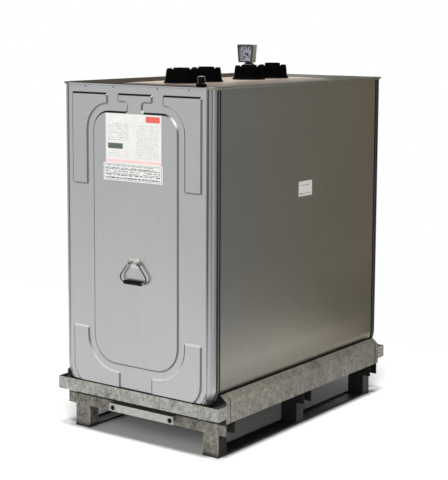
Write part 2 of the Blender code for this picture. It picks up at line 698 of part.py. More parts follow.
def make_handle(name, twin):
    """Drop handle: plate with two eyes, a wire bail that hangs in them and a plastic grip."""
    face = -BODY_LENGTH / 2 - PAD_RISE
    plate_back = face - GAP
    plate_front = plate_back - 0.0025
    plane = plate_front - HANDLE_STANDOFF
    low = HANDLE_PIVOT_HEIGHT - 0.018
    high = HANDLE_PIVOT_HEIGHT + 0.022
    outline = rounded_loop(0.0235, (high - low) / 2, 0.006, 4)
    middle = (high + low) / 2
    plate = prism(name + "_bracket", [(x, z + middle) for x, z in outline], "Y", plate_front, plate_back, BRIGHT_ZINC)
    for side in (-1, 1):
        inner = side * EAR_OFFSET - EAR_THICKNESS / 2
        ear = arc((plane, HANDLE_PIVOT_HEIGHT), 0.0085, 90, 270, 10)
        ear += [(plate_front + 0.001, HANDLE_PIVOT_HEIGHT - 0.0085), (plate_front + 0.001, HANDLE_PIVOT_HEIGHT + 0.0085)]
        combine(plate, prism("ear", ear, "X", inner, inner + EAR_THICKNESS, BRIGHT_ZINC), "UNION")
    eye = barrel("eye", (plane, HANDLE_PIVOT_HEIGHT), EYE_RADIUS, -0.05, 0.05, "X", BRIGHT_ZINC, 20)
    combine(plate, eye, "DIFFERENCE")

    curve = bpy.data.curves.new(name + "_bail", "CURVE")
    curve.dimensions = "3D"
    curve.bevel_depth = WIRE_RADIUS
    curve.bevel_resolution = 2
    curve.use_fill_caps = True
    route = bail_route()
    spline = curve.splines.new("POLY")
    spline.points.add(len(route) - 1)
    for point, place in zip(spline.points, route):
        point.co = (*place, 1.0)
    curve.materials.append(BRIGHT_ZINC)
    bail = bpy.data.objects.new(name + "_bail", curve)
    bail.location = (0.0, plane, HANDLE_PIVOT_HEIGHT)
    bpy.context.scene.collection.objects.link(bail)

    grip = barrel(name + "_grip", (0.0, -BAIL_DROP), GRIP_RADIUS, -GRIP_LENGTH / 2, GRIP_LENGTH / 2, "X", BLACK_PLASTIC, 24)
    bore = barrel("bore", (0.0, -BAIL_DROP), WIRE_RADIUS + GAP, -GRIP_LENGTH, GRIP_LENGTH, "X", BLACK_PLASTIC, 16)
    combine(grip, bore, "DIFFERENCE")
    grip.location = (0.0, plane, HANDLE_PIVOT_HEIGHT)

    turned_twin(plate, twin + "_bracket")
    for item, part in ((bail, "_bail"), (grip, "_grip")):
        other = turned_twin(item, twin + part)
        other.location = (0.0, -plane, HANDLE_PIVOT_HEIGHT)


def make_end_rails():
    """Front and back rails of the pallet: a strip with rounded returns and two tabs on the cross member."""
    half_x = RAIL_BOX_HALF_WIDTH
    half_y = RAIL_BOX_HALF_LENGTH
    outer = [(-half_x, -RAIL_RETURN_END)]
    outer += arc((-half_x + RAIL_BEND, -half_y + RAIL_BEND), RAIL_BEND, 180, 270, 6)
    outer += arc((half_x - RAIL_BEND, -half_y + RAIL_BEND), RAIL_BEND, 270, 360, 6)
    outer.append((half_x, -RAIL_RETURN_END))
    inner = [(-half_x + RAIL_SHEET, -RAIL_RETURN_END)]
    inner += arc((-half_x + RAIL_BEND, -half_y + RAIL_BEND), RAIL_BEND - RAIL_SHEET, 180, 270, 6)
    inner += arc((half_x - RAIL_BEND, -half_y + RAIL_BEND), RAIL_BEND - RAIL_SHEET, 270, 360, 6)
    inner.append((half_x - RAIL_SHEET, -RAIL_RETURN_END))
    rail = prism("front_rail", outer + list(reversed(inner)), "Z", RAIL_BOTTOM, RAIL_TOP, DIP_ZINC)
    for side in (-1, 1):
        low = (side * FOOT_CENTRE - 0.020, -half_y + RAIL_SHEET / 2, CROSS_TOP + GAP)
        high = (side * FOOT_CENTRE + 0.020, -CROSS_STATION + 0.020, CROSS_TOP + GAP + RAIL_SHEET + 0.0015)
        combine(rail, block("tab", low, high, DIP_ZINC), "UNION")
    turned_twin(rail, "back_rail")


def make_side_rails():
    """Side rails: an upright web whose top leans in towards the tank, stepped out a little at both ends."""
    face = -SIDE_RAIL_FACE
    back = face + RAIL_SHEET
    section = [(face, SIDE_RAIL_BOTTOM), (back, SIDE_RAIL_BOTTOM), (back, SIDE_RAIL_KNEE - 0.0012)]
    section += [(-SIDE_RAIL_LIP, SIDE_RAIL_TOP - 0.0024), (-SIDE_RAIL_LIP - 0.0018, SIDE_RAIL_TOP), (face, SIDE_RAIL_KNEE)]
    step = SIDE_RAIL_STEP_STATION
    rail = prism("left_rail", section, "Y", -step, step, DIP_ZINC)
    stepped = [(x - SIDE_RAIL_STEP, z) for x, z in section]
    for low, high in ((-SIDE_RAIL_END, -step + 0.002), (step - 0.002, SIDE_RAIL_END)):
        combine(rail, prism("end", stepped, "Y", low, high, DIP_ZINC), "UNION")
    turned_twin(rail, "right_rail")


def make_cross_members():
    """Three inverted channels across the pallet."""
    for name, station in (("front", -CROSS_STATION), ("middle", 0.0), ("back", CROSS_STATION)):
        low = station - CROSS_WIDTH / 2
        high = station + CROSS_WIDTH / 2
        section = [(low, CROSS_BOTTOM), (low + RAIL_SHEET, CROSS_BOTTOM)]
        section += [(low + RAIL_SHEET, CROSS_TOP - RAIL_SHEET), (high - RAIL_SHEET, CROSS_TOP - RAIL_SHEET)]
        section += [(high - RAIL_SHEET, CROSS_BOTTOM), (high, CROSS_BOTTOM), (high, CROSS_TOP), (low, CROSS_TOP)]
        prism(name + "_cross_member", section, "X", -CROSS_HALF_LENGTH, CROSS_HALF_LENGTH, DIP_ZINC, smooth=False)


def make_runners():
    """Low channels on the ground that tie the feet together."""
    end = CROSS_STATION + CROSS_WIDTH / 2
    section = []
    for side in (-1, 1):
        outer = -FOOT_CENTRE + side * FOOT_WIDTH / 2
        inner = outer - side * RAIL_SHEET
        wall = [(outer, 0.0), (outer, RUNNER_HEIGHT), (inner, RUNNER_HEIGHT), (inner, RAIL_SHEET)]
        section += wall if side < 0 else list(reversed(wall))
    runner = prism("left_runner", section, "Y", -end, end, DIP_ZINC, smooth=False)
    turned_twin(runner, "right_runner")


def make_feet():
    """Six upright feet that stand in the runners and carry the cross members."""
    half_y = CROSS_WIDTH / 2 - RAIL_SHEET - GAP
    half_x = FOOT_WIDTH / 2 - RAIL_SHEET - GAP
    top = CROSS_TOP - RAIL_SHEET - GAP
    for row, station in (("front", -CROSS_STATION), ("middle", 0.0), ("back", CROSS_STATION)):
        for side, centre in (("left", -FOOT_CENTRE), ("right", FOOT_CENTRE)):
            outline = []
            for way in (-1, 1):
                edge = [(centre + way * half_x, RAIL_SHEET + GAP), (centre + way * half_x, RUNNER_HEIGHT + GAP)]
                edge += [(centre + way * FOOT_WIDTH / 2, RUNNER_HEIGHT + GAP), (centre + way * FOOT_WIDTH / 2, top)]
                outline += edge if way > 0 else list(reversed(edge))
            prism(f"{row}_{side}_foot", outline, "Y", station - half_y, station + half_y, DIP_ZINC, smooth=False)


def make_tie_plate():
    """Bright angle bolted along the middle of the front cross member."""
    back = -CROSS_STATION - CROSS_WIDTH / 2 - GAP
    section = [(-TIE_FRONT, TIE_BOTTOM), (-TIE_FRONT + RAIL_SHEET, TIE_BOTTOM)]
    section += [(-TIE_FRONT + RAIL_SHEET, TIE_TOP - RAIL_SHEET), (back, TIE_TOP - RAIL_SHEET)]
    section += [(back, TIE_TOP), (-TIE_FRONT, TIE_TOP)]
    prism("tie_plate", section, "X", -TIE_HALF_LENGTH, TIE_HALF_LENGTH, BRIGHT_ZINC, smooth=False)


make_end_panels()
wrap_reach = make_seams()
make_wrap(wrap_reach)
make_rims()
make_inner_tank()
make_tank_top()
make_caps()
make_gauge()
make_leak_indicator()
make_handle("front_handle", "back_handle")
make_end_rails()
make_side_rails()
make_cross_members()
make_runners()
make_feet()
make_tie_plate()
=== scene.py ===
"""Looks of a double-walled storage tank on its steel pallet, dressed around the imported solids.

Metres, +Z up, the embossed front panel faces -Y. The steel, plastic and galvanised finishes are
procedural, and the small fixings, labels and gauge print are modelled here.
"""
import json
import math
import bpy
from mathutils import Matrix, Vector


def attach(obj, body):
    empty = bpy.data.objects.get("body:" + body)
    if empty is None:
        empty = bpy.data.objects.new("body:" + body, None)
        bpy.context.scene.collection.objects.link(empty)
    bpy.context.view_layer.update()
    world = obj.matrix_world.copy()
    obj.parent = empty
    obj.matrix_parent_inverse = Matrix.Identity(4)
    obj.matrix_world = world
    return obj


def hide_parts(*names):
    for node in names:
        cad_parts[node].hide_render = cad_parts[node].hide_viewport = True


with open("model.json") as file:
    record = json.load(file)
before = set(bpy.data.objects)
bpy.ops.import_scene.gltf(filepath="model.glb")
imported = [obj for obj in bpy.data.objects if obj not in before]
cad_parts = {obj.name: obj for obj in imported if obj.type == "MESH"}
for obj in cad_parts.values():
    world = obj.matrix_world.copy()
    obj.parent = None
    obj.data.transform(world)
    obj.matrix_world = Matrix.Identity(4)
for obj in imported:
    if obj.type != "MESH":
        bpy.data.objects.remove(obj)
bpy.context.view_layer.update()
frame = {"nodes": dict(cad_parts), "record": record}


def reach(node, axis, end):
    """Lowest or highest place of a solid along an axis, with min or max as the end."""
    solid = frame["nodes"][node]
    column = "XYZ".index(axis)
    return end(vertex.co[column] for vertex in solid.data.vertices)


# Where things are on the solids, as distances from the tank's middle and heights
FIELD_RISE = 0.0045
FIELD_FACE = reach("back_panel", "Y", max)
PANEL_FACE = FIELD_FACE - FIELD_RISE
WALL_FACE = reach("right_wall", "X", max)
END_RAIL_FACE = reach("back_rail", "Y", max)
TIE_FACE = -reach("tie_plate", "Y", min)
TANK_TOP = reach("inner_tank_top", "Z", max)
CAPS = [f"cap_{number}" for number in range(1, 5)]
CAP_STATIONS = [(reach(cap, "Y", min) + reach(cap, "Y", max)) / 2 for cap in CAPS]

# Gauge head, which widens from its bottom to its top
GAUGE_FRONT = reach("gauge_housing", "Y", min)
GAUGE_BOTTOM = reach("gauge_housing", "Z", min)
GAUGE_TOP = reach("gauge_housing", "Z", max)
GAUGE_HALF_LOW = 0.0350
GAUGE_HALF_TOP = reach("gauge_housing", "X", max)
DIAL_FACE = reach("gauge_dial", "Y", min)

# Joint axes, and the front of the handles' bracket plates
JOINT_PLACE = {joint["name"]: joint["pos_m"] for joint in frame["record"]["behaviour"]["joints"]}
HUB_HEIGHT = JOINT_PLACE["gauge_pointer_turn"][2]
HANDLE_PLANE = JOINT_PLACE["back_handle_swing"][1]
HANDLE_PIVOT = JOINT_PLACE["back_handle_swing"][2]
BRACKET_SHEET = 0.0025
HANDLE_PLATE = reach("back_handle_bracket", "Y", min) + BRACKET_SHEET

# Which way the two ends and the two walls face
ENDS = (("front", -1), ("back", 1))
WALLS = (("left", -1), ("right", 1))

BODY_OF = {}
for body, members in frame["record"]["behaviour"]["bodies"].items():
    for member in members:
        BODY_OF[member] = body


# Node helpers


def paint(code):
    """Linear colour of an sRGB hex code."""
    channels = []
    for start in (1, 3, 5):
        level = int(code[start:start + 2], 16) / 255
        channels.append(level / 12.92 if level <= 0.04045 else ((level + 0.055) / 1.055) ** 2.4)
    return (*channels, 1.0)


def add(tree, kind, inputs=None, stops=(), **settings):
    """Add one shader node, set its options, and fill or link its inputs.

    A colour ramp also gets its stops, as (position, hex code) pairs.
    """
    made = tree.nodes.new("ShaderNode" + kind)
    for option, value in settings.items():
        setattr(made, option, value)
    for socket, value in (inputs or {}).items():
        if isinstance(value, bpy.types.NodeSocket):
            tree.links.new(value, made.inputs[socket])
        else:
            made.inputs[socket].default_value = value
    if stops:
        band = made.color_ramp.elements
        while len(band) < len(stops):
            band.new(0.5)
        for element, (position, code) in zip(band, stops):
            element.position = position
            element.color = paint(code)
    return made


def finish_of(name):
    """A new material with its shader and the piece's own coordinates."""
    material = bpy.data.materials.new(name)
    material.use_nodes = True
    tree = material.node_tree
    shader = tree.nodes["Principled BSDF"]
    place = add(tree, "TexCoord").outputs["Object"]
    return material, tree, shader, place


def set_sockets(shader, **values):
    """Plain numbers and colours on the shader's own sockets."""
    for socket, value in values.items():
        shader.inputs[socket.replace("_", " ")].default_value = value


def per_metre(millimetres):
    """Texture scale whose features are this many millimetres across."""
    return 1000.0 / millimetres


# Stains and painted light


def stain_mask(tree, place, limits):
    """1 where every place lies in its (axis, low, high, soft) limits, else 0.

    A plain axis counts both ways from the tank's middle, while +X or +Y keeps its sign.
    """
    split = add(tree, "SeparateXYZ", {"Vector": place})
    mask = None
    for axis, low, high, soft in limits:
        away = add(tree, "Math", {0: split.outputs[axis[-1]], 1: 0.0},
                   operation="ADD" if axis[0] == "+" else "ABSOLUTE")
        rise = add(tree, "MapRange", {"Value": away.outputs[0], "From Min": low - soft, "From Max": low})
        fall = add(tree, "MapRange", {"Value": away.outputs[0], "From Min": high, "From Max": high + soft,
                                      "To Min": 1.0, "To Max": 0.0})
        both = add(tree, "Math", {0: rise.outputs[0], 1: fall.outputs[0]}, operation="MULTIPLY")
        if mask is None:
            mask = both.outputs[0]
        else:
            mask = add(tree, "Math", {0: mask, 1: both.outputs[0]}, operation="MULTIPLY").outputs[0]
    return mask


def soil(tree, place, colour, stains_and_light):
    """Lay (hex code, share, limits) stains and painted light over a colour."""
    for code, share, limits in stains_and_light:
        mask = add(tree, "Math", {0: stain_mask(tree, place, limits), 1: share}, operation="MULTIPLY")
        colour = add(tree, "Mix", {"Factor": mask.outputs[0], "A": colour, "B": paint(code)},
                     data_type="RGBA").outputs[2]
    return colour


# Stains and painted shade of this share or more are thick enough to hide the metal
THICK_STAIN_OR_SHADE = 0.9


def metal_where_clean(tree, shader, place, stains_and_light, metallic, gloss, matt_slope=None):
    """Bare zinc mirrors, while thick stains and painted shade hide the metal and stay matt.

    Where the matt-slope factor is 1 the zinc is matt, keeps its colour and hardly mirrors.
    """
    cover = matt_slope
    for code, share, limits in stains_and_light:
        if share >= THICK_STAIN_OR_SHADE:
            mask = stain_mask(tree, place, limits)
            if cover is None:
                cover = mask
            else:
                cover = add(tree, "Math", {0: cover, 1: mask}, operation="MAXIMUM").outputs[0]
    if cover is None:
        set_sockets(shader, Metallic=metallic)
        tree.links.new(gloss, shader.inputs["Roughness"])
        return
    spared = add(tree, "MapRange", {"Value": cover, "To Min": metallic, "To Max": 0.0})
    tree.links.new(spared.outputs[0], shader.inputs["Metallic"])
    matt = add(tree, "Mix", {"Factor": cover, "A": gloss, "B": 0.95}, data_type="FLOAT")
    tree.links.new(matt.outputs[0], shader.inputs["Roughness"])


# Finishes


def crease_wear(tree, place):
    """Painted shade and reflection on a pressed panel's slopes and border, and its matt slopes, both from
    0 to 1.
    """
    turn = add(tree, "SeparateXYZ", {"Vector": add(tree, "TexCoord").outputs["Normal"]})
    sideways = add(tree, "Math", {0: turn.outputs["X"]}, operation="ABSOLUTE").outputs[0]
    upward = add(tree, "ValToRGB", {"Fac": turn.outputs["Z"]},
                 stops=((0.12, "#000000"), (0.30, "#FFFFFF"))).outputs["Color"]
    # On the low fields the slopes that face up are left out of the painted shade and made matt
    high = stain_mask(tree, place, (("Z", 0.50, 2.0, 0.02),))
    low = add(tree, "Math", {0: high, 1: -1.0, 2: 1.0}, operation="MULTIPLY_ADD")
    matt_slope = add(tree, "Math", {0: upward, 1: low.outputs[0]}, operation="MULTIPLY").outputs[0]
    # All other slopes get painted shade, most of all those that face up and least those that face down
    slope = add(tree, "ValToRGB", {"Fac": sideways}, stops=((0.12, "#000000"), (0.34, "#E0E0E0")))
    upper = add(tree, "Math", {0: upward, 1: high}, operation="MULTIPLY")
    under = add(tree, "MapRange", {"Value": turn.outputs["Z"], "From Min": -0.12, "From Max": -0.30,
                                   "To Min": 0.0, "To Max": 0.65})
    slope_shade = add(tree, "Math", {0: slope.outputs["Color"], 1: upper.outputs[0]}, operation="MAXIMUM")
    slope_shade = add(tree, "Math", {0: slope_shade.outputs[0], 1: under.outputs[0]}, operation="MAXIMUM")
    glossy_rest = add(tree, "Math", {0: matt_slope, 1: -1.0, 2: 1.0}, operation="MULTIPLY_ADD")
    slope_shade = add(tree, "Math", {0: slope_shade.outputs[0], 1: glossy_rest.outputs[0]}, operation="MULTIPLY")
    # Painted reflection darkens the rounded border in stripes, most beside the flat, less towards the
    # ground
    border = add(tree, "ValToRGB", {"Fac": sideways},
                 stops=((0.02, "#000000"), (0.09, "#FFFFFF"), (0.28, "#F4F4F4"), (0.40, "#B4B4B4"),
                        (0.66, "#B4B4B4"), (0.69, "#F0F0F0"), (0.73, "#F0F0F0"), (0.77, "#000000")))
    near_ground = stain_mask(tree, place, (("Z", 0.0, 0.30, 0.70),))
    kept = add(tree, "Math", {0: near_ground, 1: -0.8, 2: 1.0}, operation="MULTIPLY_ADD")
    edge = add(tree, "Math", {0: border.outputs["Color"], 1: kept.outputs[0]}, operation="MULTIPLY")
    outer = stain_mask(tree, place, (("X", 0.3450, 0.40, 0.0010),))
    slope_shade = add(tree, "Mix", {"Factor": outer, "A": slope_shade.outputs[0], "B": edge.outputs[0]},
               data_type="FLOAT")
    # The low fields aside, corners that face up and right, or down and left, are spared the painted shade
    corner = add(tree, "Math", {0: turn.outputs["X"], 1: turn.outputs["Z"]}, operation="MULTIPLY")
    bright = add(tree, "MapRange", {"Value": corner.outputs[0], "From Min": 0.05, "From Max": 0.10})
    spared = add(tree, "Math", {0: bright.outputs[0], 1: high}, operation="MULTIPLY")
    left = add(tree, "Math", {0: spared.outputs[0], 1: -1.0, 2: 1.0}, operation="MULTIPLY_ADD")
    slope_shade = add(tree, "Math", {0: slope_shade.outputs[0], 1: left.outputs[0]}, operation="MULTIPLY")
    return slope_shade.outputs[0], matt_slope


def rolled_steel(name, light, dark, gloss_range, far_tint, stains_and_light, pressed=False):
    """Skin-passed galvanised sheet with a clear coat: an even satin grey with faint upright roll marks.

    On a pressed panel, painted shade and painted reflection darken the slopes and the rounded border.
    """
    material, tree, shader, place = finish_of(name)
    # Roll marks a few millimetres wide that run the height of the sheet
    stretched = add(tree, "Mapping", {"Vector": place, "Scale": (1.0, 1.0, 0.02)})
    marks = add(tree, "TexNoise", {"Vector": stretched.outputs[0], "Scale": per_metre(14), "Detail": 4.0,
                                   "Roughness": 0.6})
    clouds = add(tree, "TexNoise", {"Vector": place, "Scale": per_metre(420), "Detail": 2.0})
    blend = add(tree, "Mix", {"Factor": 0.45, "A": clouds.outputs["Fac"], "B": marks.outputs["Fac"]},
                data_type="FLOAT")
    tone = add(tree, "ValToRGB", {"Fac": blend.outputs[0]}, stops=((0.30, dark), (0.70, light)))
    # Painted shade: the sheet grows a little darker and warmer towards the back of the tank
    split = add(tree, "SeparateXYZ", {"Vector": place})
    depth = add(tree, "MapRange", {"Value": split.outputs["Y"], "From Min": -0.5, "From Max": 0.6})
    far_shade = add(tree, "Mix", {"Factor": depth.outputs[0], "A": paint("#FFFFFF"), "B": paint(far_tint)},
               data_type="RGBA")
    colour = add(tree, "Mix", {"Factor": 1.0, "A": tone.outputs["Color"], "B": far_shade.outputs[2]},
                 data_type="RGBA", blend_type="MULTIPLY").outputs[2]
    matt_slope = None
    if pressed:
        # Painted shade and painted reflection, by which way each part of the panel faces
        slope_shade, matt_slope = crease_wear(tree, place)
        share = add(tree, "Math", {0: slope_shade, 1: 0.90}, operation="MULTIPLY")
        colour = add(tree, "Mix", {"Factor": share.outputs[0], "A": colour, "B": paint("#1C1C1B")},
                     data_type="RGBA").outputs[2]
    tree.links.new(soil(tree, place, colour, stains_and_light), shader.inputs["Base Color"])
    # Zinc grain of about 2 mm, drawn at 5 mm so that it breaks up the gloss
    grain = add(tree, "TexNoise", {"Vector": place, "Scale": per_metre(5), "Detail": 3.0})
    gloss = add(tree, "MapRange", {"Value": grain.outputs["Fac"], "From Min": 0.3, "From Max": 0.7,
                                   "To Min": gloss_range[0], "To Max": gloss_range[1]})
    bump = add(tree, "Bump", {"Height": grain.outputs["Fac"], "Strength": 0.02, "Distance": 0.0004})
    tree.links.new(bump.outputs[0], shader.inputs["Normal"])
    metal_where_clean(tree, shader, place, stains_and_light, 0.95, gloss.outputs[0], matt_slope)
    return material


def dipped_zinc(name, tones, stain, stain_share, stains_and_light=()):
    """Hot-dip galvanised steel after years outdoors: mottled flakes, upright runs, dull stains and
    painted shade.
    """
    material, tree, shader, place = finish_of(name)
    # Zinc flakes are 5 to 10 mm across
    flakes = add(tree, "TexVoronoi", {"Vector": place, "Scale": per_metre(9), "Randomness": 1.0})
    flake_tone = add(tree, "SeparateColor", {"Color": flakes.outputs["Color"]})
    speckle = add(tree, "TexNoise", {"Vector": place, "Scale": per_metre(11), "Detail": 5.0,
                                     "Roughness": 0.7})
    upright = add(tree, "Mapping", {"Vector": place, "Scale": (1.0, 1.0, 0.14)})
    runs = add(tree, "TexNoise", {"Vector": upright.outputs[0], "Scale": per_metre(13), "Detail": 3.0})
    clouds = add(tree, "TexNoise", {"Vector": place, "Scale": per_metre(70), "Detail": 3.0,
                                    "Roughness": 0.6})
    mottle = add(tree, "Mix", {"Factor": 0.68, "A": flake_tone.outputs[0], "B": speckle.outputs["Fac"]},
                 data_type="FLOAT")
    streaked = add(tree, "Mix", {"Factor": 0.36, "A": mottle.outputs[0], "B": runs.outputs["Fac"]},
                   data_type="FLOAT")
    clouded = add(tree, "Mix", {"Factor": 0.34, "A": streaked.outputs[0], "B": clouds.outputs["Fac"]},
                  data_type="FLOAT")
    tone = add(tree, "ValToRGB", {"Fac": clouded.outputs[0]}, stops=tones)
    # Brownish water stains in patches the size of a hand
    patch = add(tree, "TexNoise", {"Vector": place, "Scale": per_metre(95), "Detail": 4.0,
                                   "Roughness": 0.65})
    share = add(tree, "MapRange", {"Value": patch.outputs["Fac"], "From Min": 0.56, "From Max": 0.72,
                                   "To Min": 0.0, "To Max": stain_share})
    mixed = add(tree, "Mix", {"Factor": share.outputs[0], "A": tone.outputs["Color"], "B": paint(stain)},
                data_type="RGBA")
    tree.links.new(soil(tree, place, mixed.outputs[2], stains_and_light), shader.inputs["Base Color"])
    gloss = add(tree, "MapRange", {"Value": clouded.outputs[0], "From Min": 0.3, "From Max": 0.7,
                                   "To Min": 0.62, "To Max": 0.40})
    bump = add(tree, "Bump", {"Height": mottle.outputs[0], "Strength": 0.35, "Distance": 0.0008})
    tree.links.new(bump.outputs[0], shader.inputs["Normal"])
    metal_where_clean(tree, shader, place, stains_and_light, 0.45, gloss.outputs[0])
    return material


def plated_zinc(name, light, dark, shaded_right_side=False):
    """Bright electroplated zinc: smooth and silvery with a little smear in its gloss.

    Wire can have painted shade on the side that faces right.
    """
    material, tree, shader, place = finish_of(name)
    smear = add(tree, "TexNoise", {"Vector": place, "Scale": per_metre(18), "Detail": 4.0})
    tone = add(tree, "ValToRGB", {"Fac": smear.outputs["Fac"]}, stops=((0.35, dark), (0.65, light)))
    colour = tone.outputs["Color"]
    if shaded_right_side:
        # Painted shade darkens the side that faces right
        turn = add(tree, "SeparateXYZ", {"Vector": add(tree, "TexCoord").outputs["Normal"]})
        share = add(tree, "MapRange", {"Value": turn.outputs["X"], "From Min": -0.15, "From Max": 0.25,
                                       "To Min": 0.0, "To Max": 0.95})
        colour = add(tree, "Mix", {"Factor": share.outputs[0], "A": colour, "B": paint("#161615")},
                     data_type="RGBA").outputs[2]
    tree.links.new(colour, shader.inputs["Base Color"])
    gloss = add(tree, "MapRange", {"Value": smear.outputs["Fac"], "To Min": 0.25, "To Max": 0.42})
    tree.links.new(gloss.outputs[0], shader.inputs["Roughness"])
    set_sockets(shader, Metallic=0.8)
    return material


def moulded(name, light, dark, patch, roughness, grit=3.0, shine=0.5, stains_and_light=()):
    """Moulded plastic: a faint drift of colour and the fine pebble of the mould."""
    material, tree, shader, place = finish_of(name)
    drift = add(tree, "TexNoise", {"Vector": place, "Scale": per_metre(patch), "Detail": 2.0})
    tone = add(tree, "ValToRGB", {"Fac": drift.outputs["Fac"]}, stops=((0.35, dark), (0.65, light)))
    colour = soil(tree, place, tone.outputs["Color"], stains_and_light)
    tree.links.new(colour, shader.inputs["Base Color"])
    pebble = add(tree, "TexNoise", {"Vector": place, "Scale": per_metre(grit), "Detail": 2.0})
    gloss = add(tree, "MapRange", {"Value": pebble.outputs["Fac"], "To Min": roughness - 0.05,
                                   "To Max": roughness + 0.05})
    tree.links.new(gloss.outputs[0], shader.inputs["Roughness"])
    bump = add(tree, "Bump", {"Height": pebble.outputs["Fac"], "Strength": 0.2, "Distance": 0.0002})
    tree.links.new(bump.outputs[0], shader.inputs["Normal"])
    set_sockets(shader, Specular_IOR_Level=shine)
    return material


def clear_acrylic(name, tint):
    """Clear injection-moulded acrylic, a thin window lightly hazed by wear."""
    material, tree, shader, place = finish_of(name)
    haze = add(tree, "TexNoise", {"Vector": place, "Scale": per_metre(9), "Detail": 3.0})
    gloss = add(tree, "MapRange", {"Value": haze.outputs["Fac"], "To Min": 0.02, "To Max": 0.12})
    tree.links.new(gloss.outputs[0], shader.inputs["Roughness"])
    set_sockets(shader, Base_Color=paint(tint), IOR=1.49, Alpha=0.04)
    return material


# Sheet of the jacket. Painted shade darkens it where it goes down behind the pallet's rail and
# up its low rounded corners, and a faint line of painted shade runs up the end panels' side borders
PAINTED_SHADE = "#100F0C"
GROOVE_SHADE = "#0B0B0B"
PANEL_SHADE = (
    (PAINTED_SHADE, 1.0, (("Z", 0.10, 0.2245, 0.0015),)),
    (PAINTED_SHADE, 0.9, (("Z", 0.10, 0.242, 0.030), ("X", 0.352, 0.40, 0.010))),
    ("#1A1A19", 0.55, (("X", 0.3500, 0.3575, 0.0015), ("Z", 0.75, 1.46, 0.45), ("Y", 0.63, 0.66, 0.001))))
# The rounded corners of the back panel are painted near black, as a painted dark reflection
BACK_SHADE = PANEL_SHADE + (
    ("#0C0C0F", 0.95, (("X", 0.368, 0.40, 0.004), ("Y", 0.55, 0.6280, 0.004))),)
# Painted shade darkens both grooves beside the seam's ridge, and the sheet where it goes down behind the
# rail
SEAM_SHADE = (
    (GROOVE_SHADE, 0.95, (("Y", 0.6065, 0.620, 0.0010),)),
    (GROOVE_SHADE, 0.90, (("Y", 0.580, 0.5915, 0.0010),)),
    (PAINTED_SHADE, 1.0, (("Z", 0.10, 0.2350, 0.0060),)))
# The wall is darker towards its bottom, and a black line of painted shade runs just above the side rail's
# lip
WALL_DARKENING = (
    ("#3A382F", 0.30, (("Z", 0.20, 0.40, 0.25),)),
    ("#2A281F", 0.40, (("Z", 0.20, 0.28, 0.08),)),
    ("#100F0A", 1.0, (("Z", 0.10, 0.2628, 0.0010),)))
NO_TINT = "#FFFFFF"
WARM_TINT = "#F4E8CC"
PANEL_STEEL = rolled_steel("coated_galvanised_sheet", "#B1B2B2", "#A8A9A9", (0.29, 0.34), NO_TINT,
                           PANEL_SHADE, pressed=True)
BACK_STEEL = rolled_steel("coated_galvanised_back_sheet", "#B1B2B2", "#A8A9A9", (0.32, 0.40), NO_TINT,
                          BACK_SHADE, pressed=True)
SEAM_STEEL = rolled_steel("sealed_seam_sheet", "#7C7C7A", "#727270", (0.32, 0.40), NO_TINT, SEAM_SHADE)
# The back seam is a darker copy of the seam sheet, as painted shade
BACK_SEAM_STEEL = rolled_steel("sealed_back_seam_sheet", "#3C3C3F", "#343437", (0.32, 0.40), NO_TINT,
                               SEAM_SHADE)
WALL_STEEL = rolled_steel("coated_galvanised_wrap", "#AEACA4", "#A4A299", (0.27, 0.33), WARM_TINT,
                          WALL_DARKENING)
RIM_STEEL = rolled_steel("coated_galvanised_hem", "#8E8C84", "#84827A", (0.50, 0.58), WARM_TINT, ())

# Zinc of the pallet. The inner sides of the end rails are painted black as shade. The side rails have a
# dark line of painted shade at their step and darken towards the back. The front feet and their cross
# member carry painted shade at the top and on their outer and inner sides, and are darker near the ground
END_RAIL_ZINC = dipped_zinc(
    "hot_dip_zinc_flaked", ((0.30, "#3C3C38"), (0.42, "#7C7C76"), (0.54, "#9B9B95"), (0.72, "#B6B6B0")),
    "#7E786A", 0.30,
    (("#080806", 0.97, (("Y", 0.0, 0.6448, 0.0004), ("X", 0.0, 0.4155, 0.0004))),))
SIDE_RAIL_ZINC = dipped_zinc(
    "hot_dip_zinc_run", ((0.30, "#4C4941"), (0.46, "#7E7B70"), (0.58, "#938F84"), (0.72, "#B4B0A6")),
    "#5F5648", 0.55,
    (("#151411", 0.92, (("Y", 0.5650, 0.5690, 0.0010),)),
     ("#35332C", 0.28, (("+Y", 0.0, 0.70, 0.50),))))
FOOT_ZINC = dipped_zinc(
    "hot_dip_zinc_dull", ((0.30, "#302F2A"), (0.46, "#64625A"), (0.58, "#807E76"), (0.72, "#A5A299")),
    "#4E4436", 0.55,
    (("#0E0D0B", 0.95, (("Z", 0.1390, 0.20, 0.0015),)),
     ("#0C0B0A", 0.95, (("X", 0.3745, 0.3800, 0.0004), ("Z", 0.0, 0.0940, 0.0010))),
     ("#131210", 0.92, (("Y", 0.500, 0.5330, 0.0010),)),
     ("#26241F", 0.65, (("Z", 0.0, 0.0120, 0.0060),))))
# The runners, and the middle and back feet and cross members, are darker copies of the zinc, as painted
# shade
RUNNER_ZINC = dipped_zinc(
    "scuffed_dark_zinc", ((0.30, "#131210"), (0.50, "#211F1D"), (0.72, "#36342F")), "#1A1713", 0.5)
BACK_FOOT_ZINC = dipped_zinc(
    "blackened_zinc", ((0.30, "#0A0A09"), (0.50, "#141412"), (0.72, "#262522")), "#12100D", 0.5)
PLATED_STEEL = plated_zinc("bright_zinc_plate", "#D4D4CF", "#B6B6B0")
TIE_STEEL = plated_zinc("dull_zinc_plate", "#B0B0AB", "#989892")
WIRE_STEEL = plated_zinc("tarnished_zinc_wire", "#C9C9C4", "#A0A09A", shaded_right_side=True)
BOLT_STEEL = plated_zinc("blackened_bolt_zinc", "#2C2C2A", "#161615")

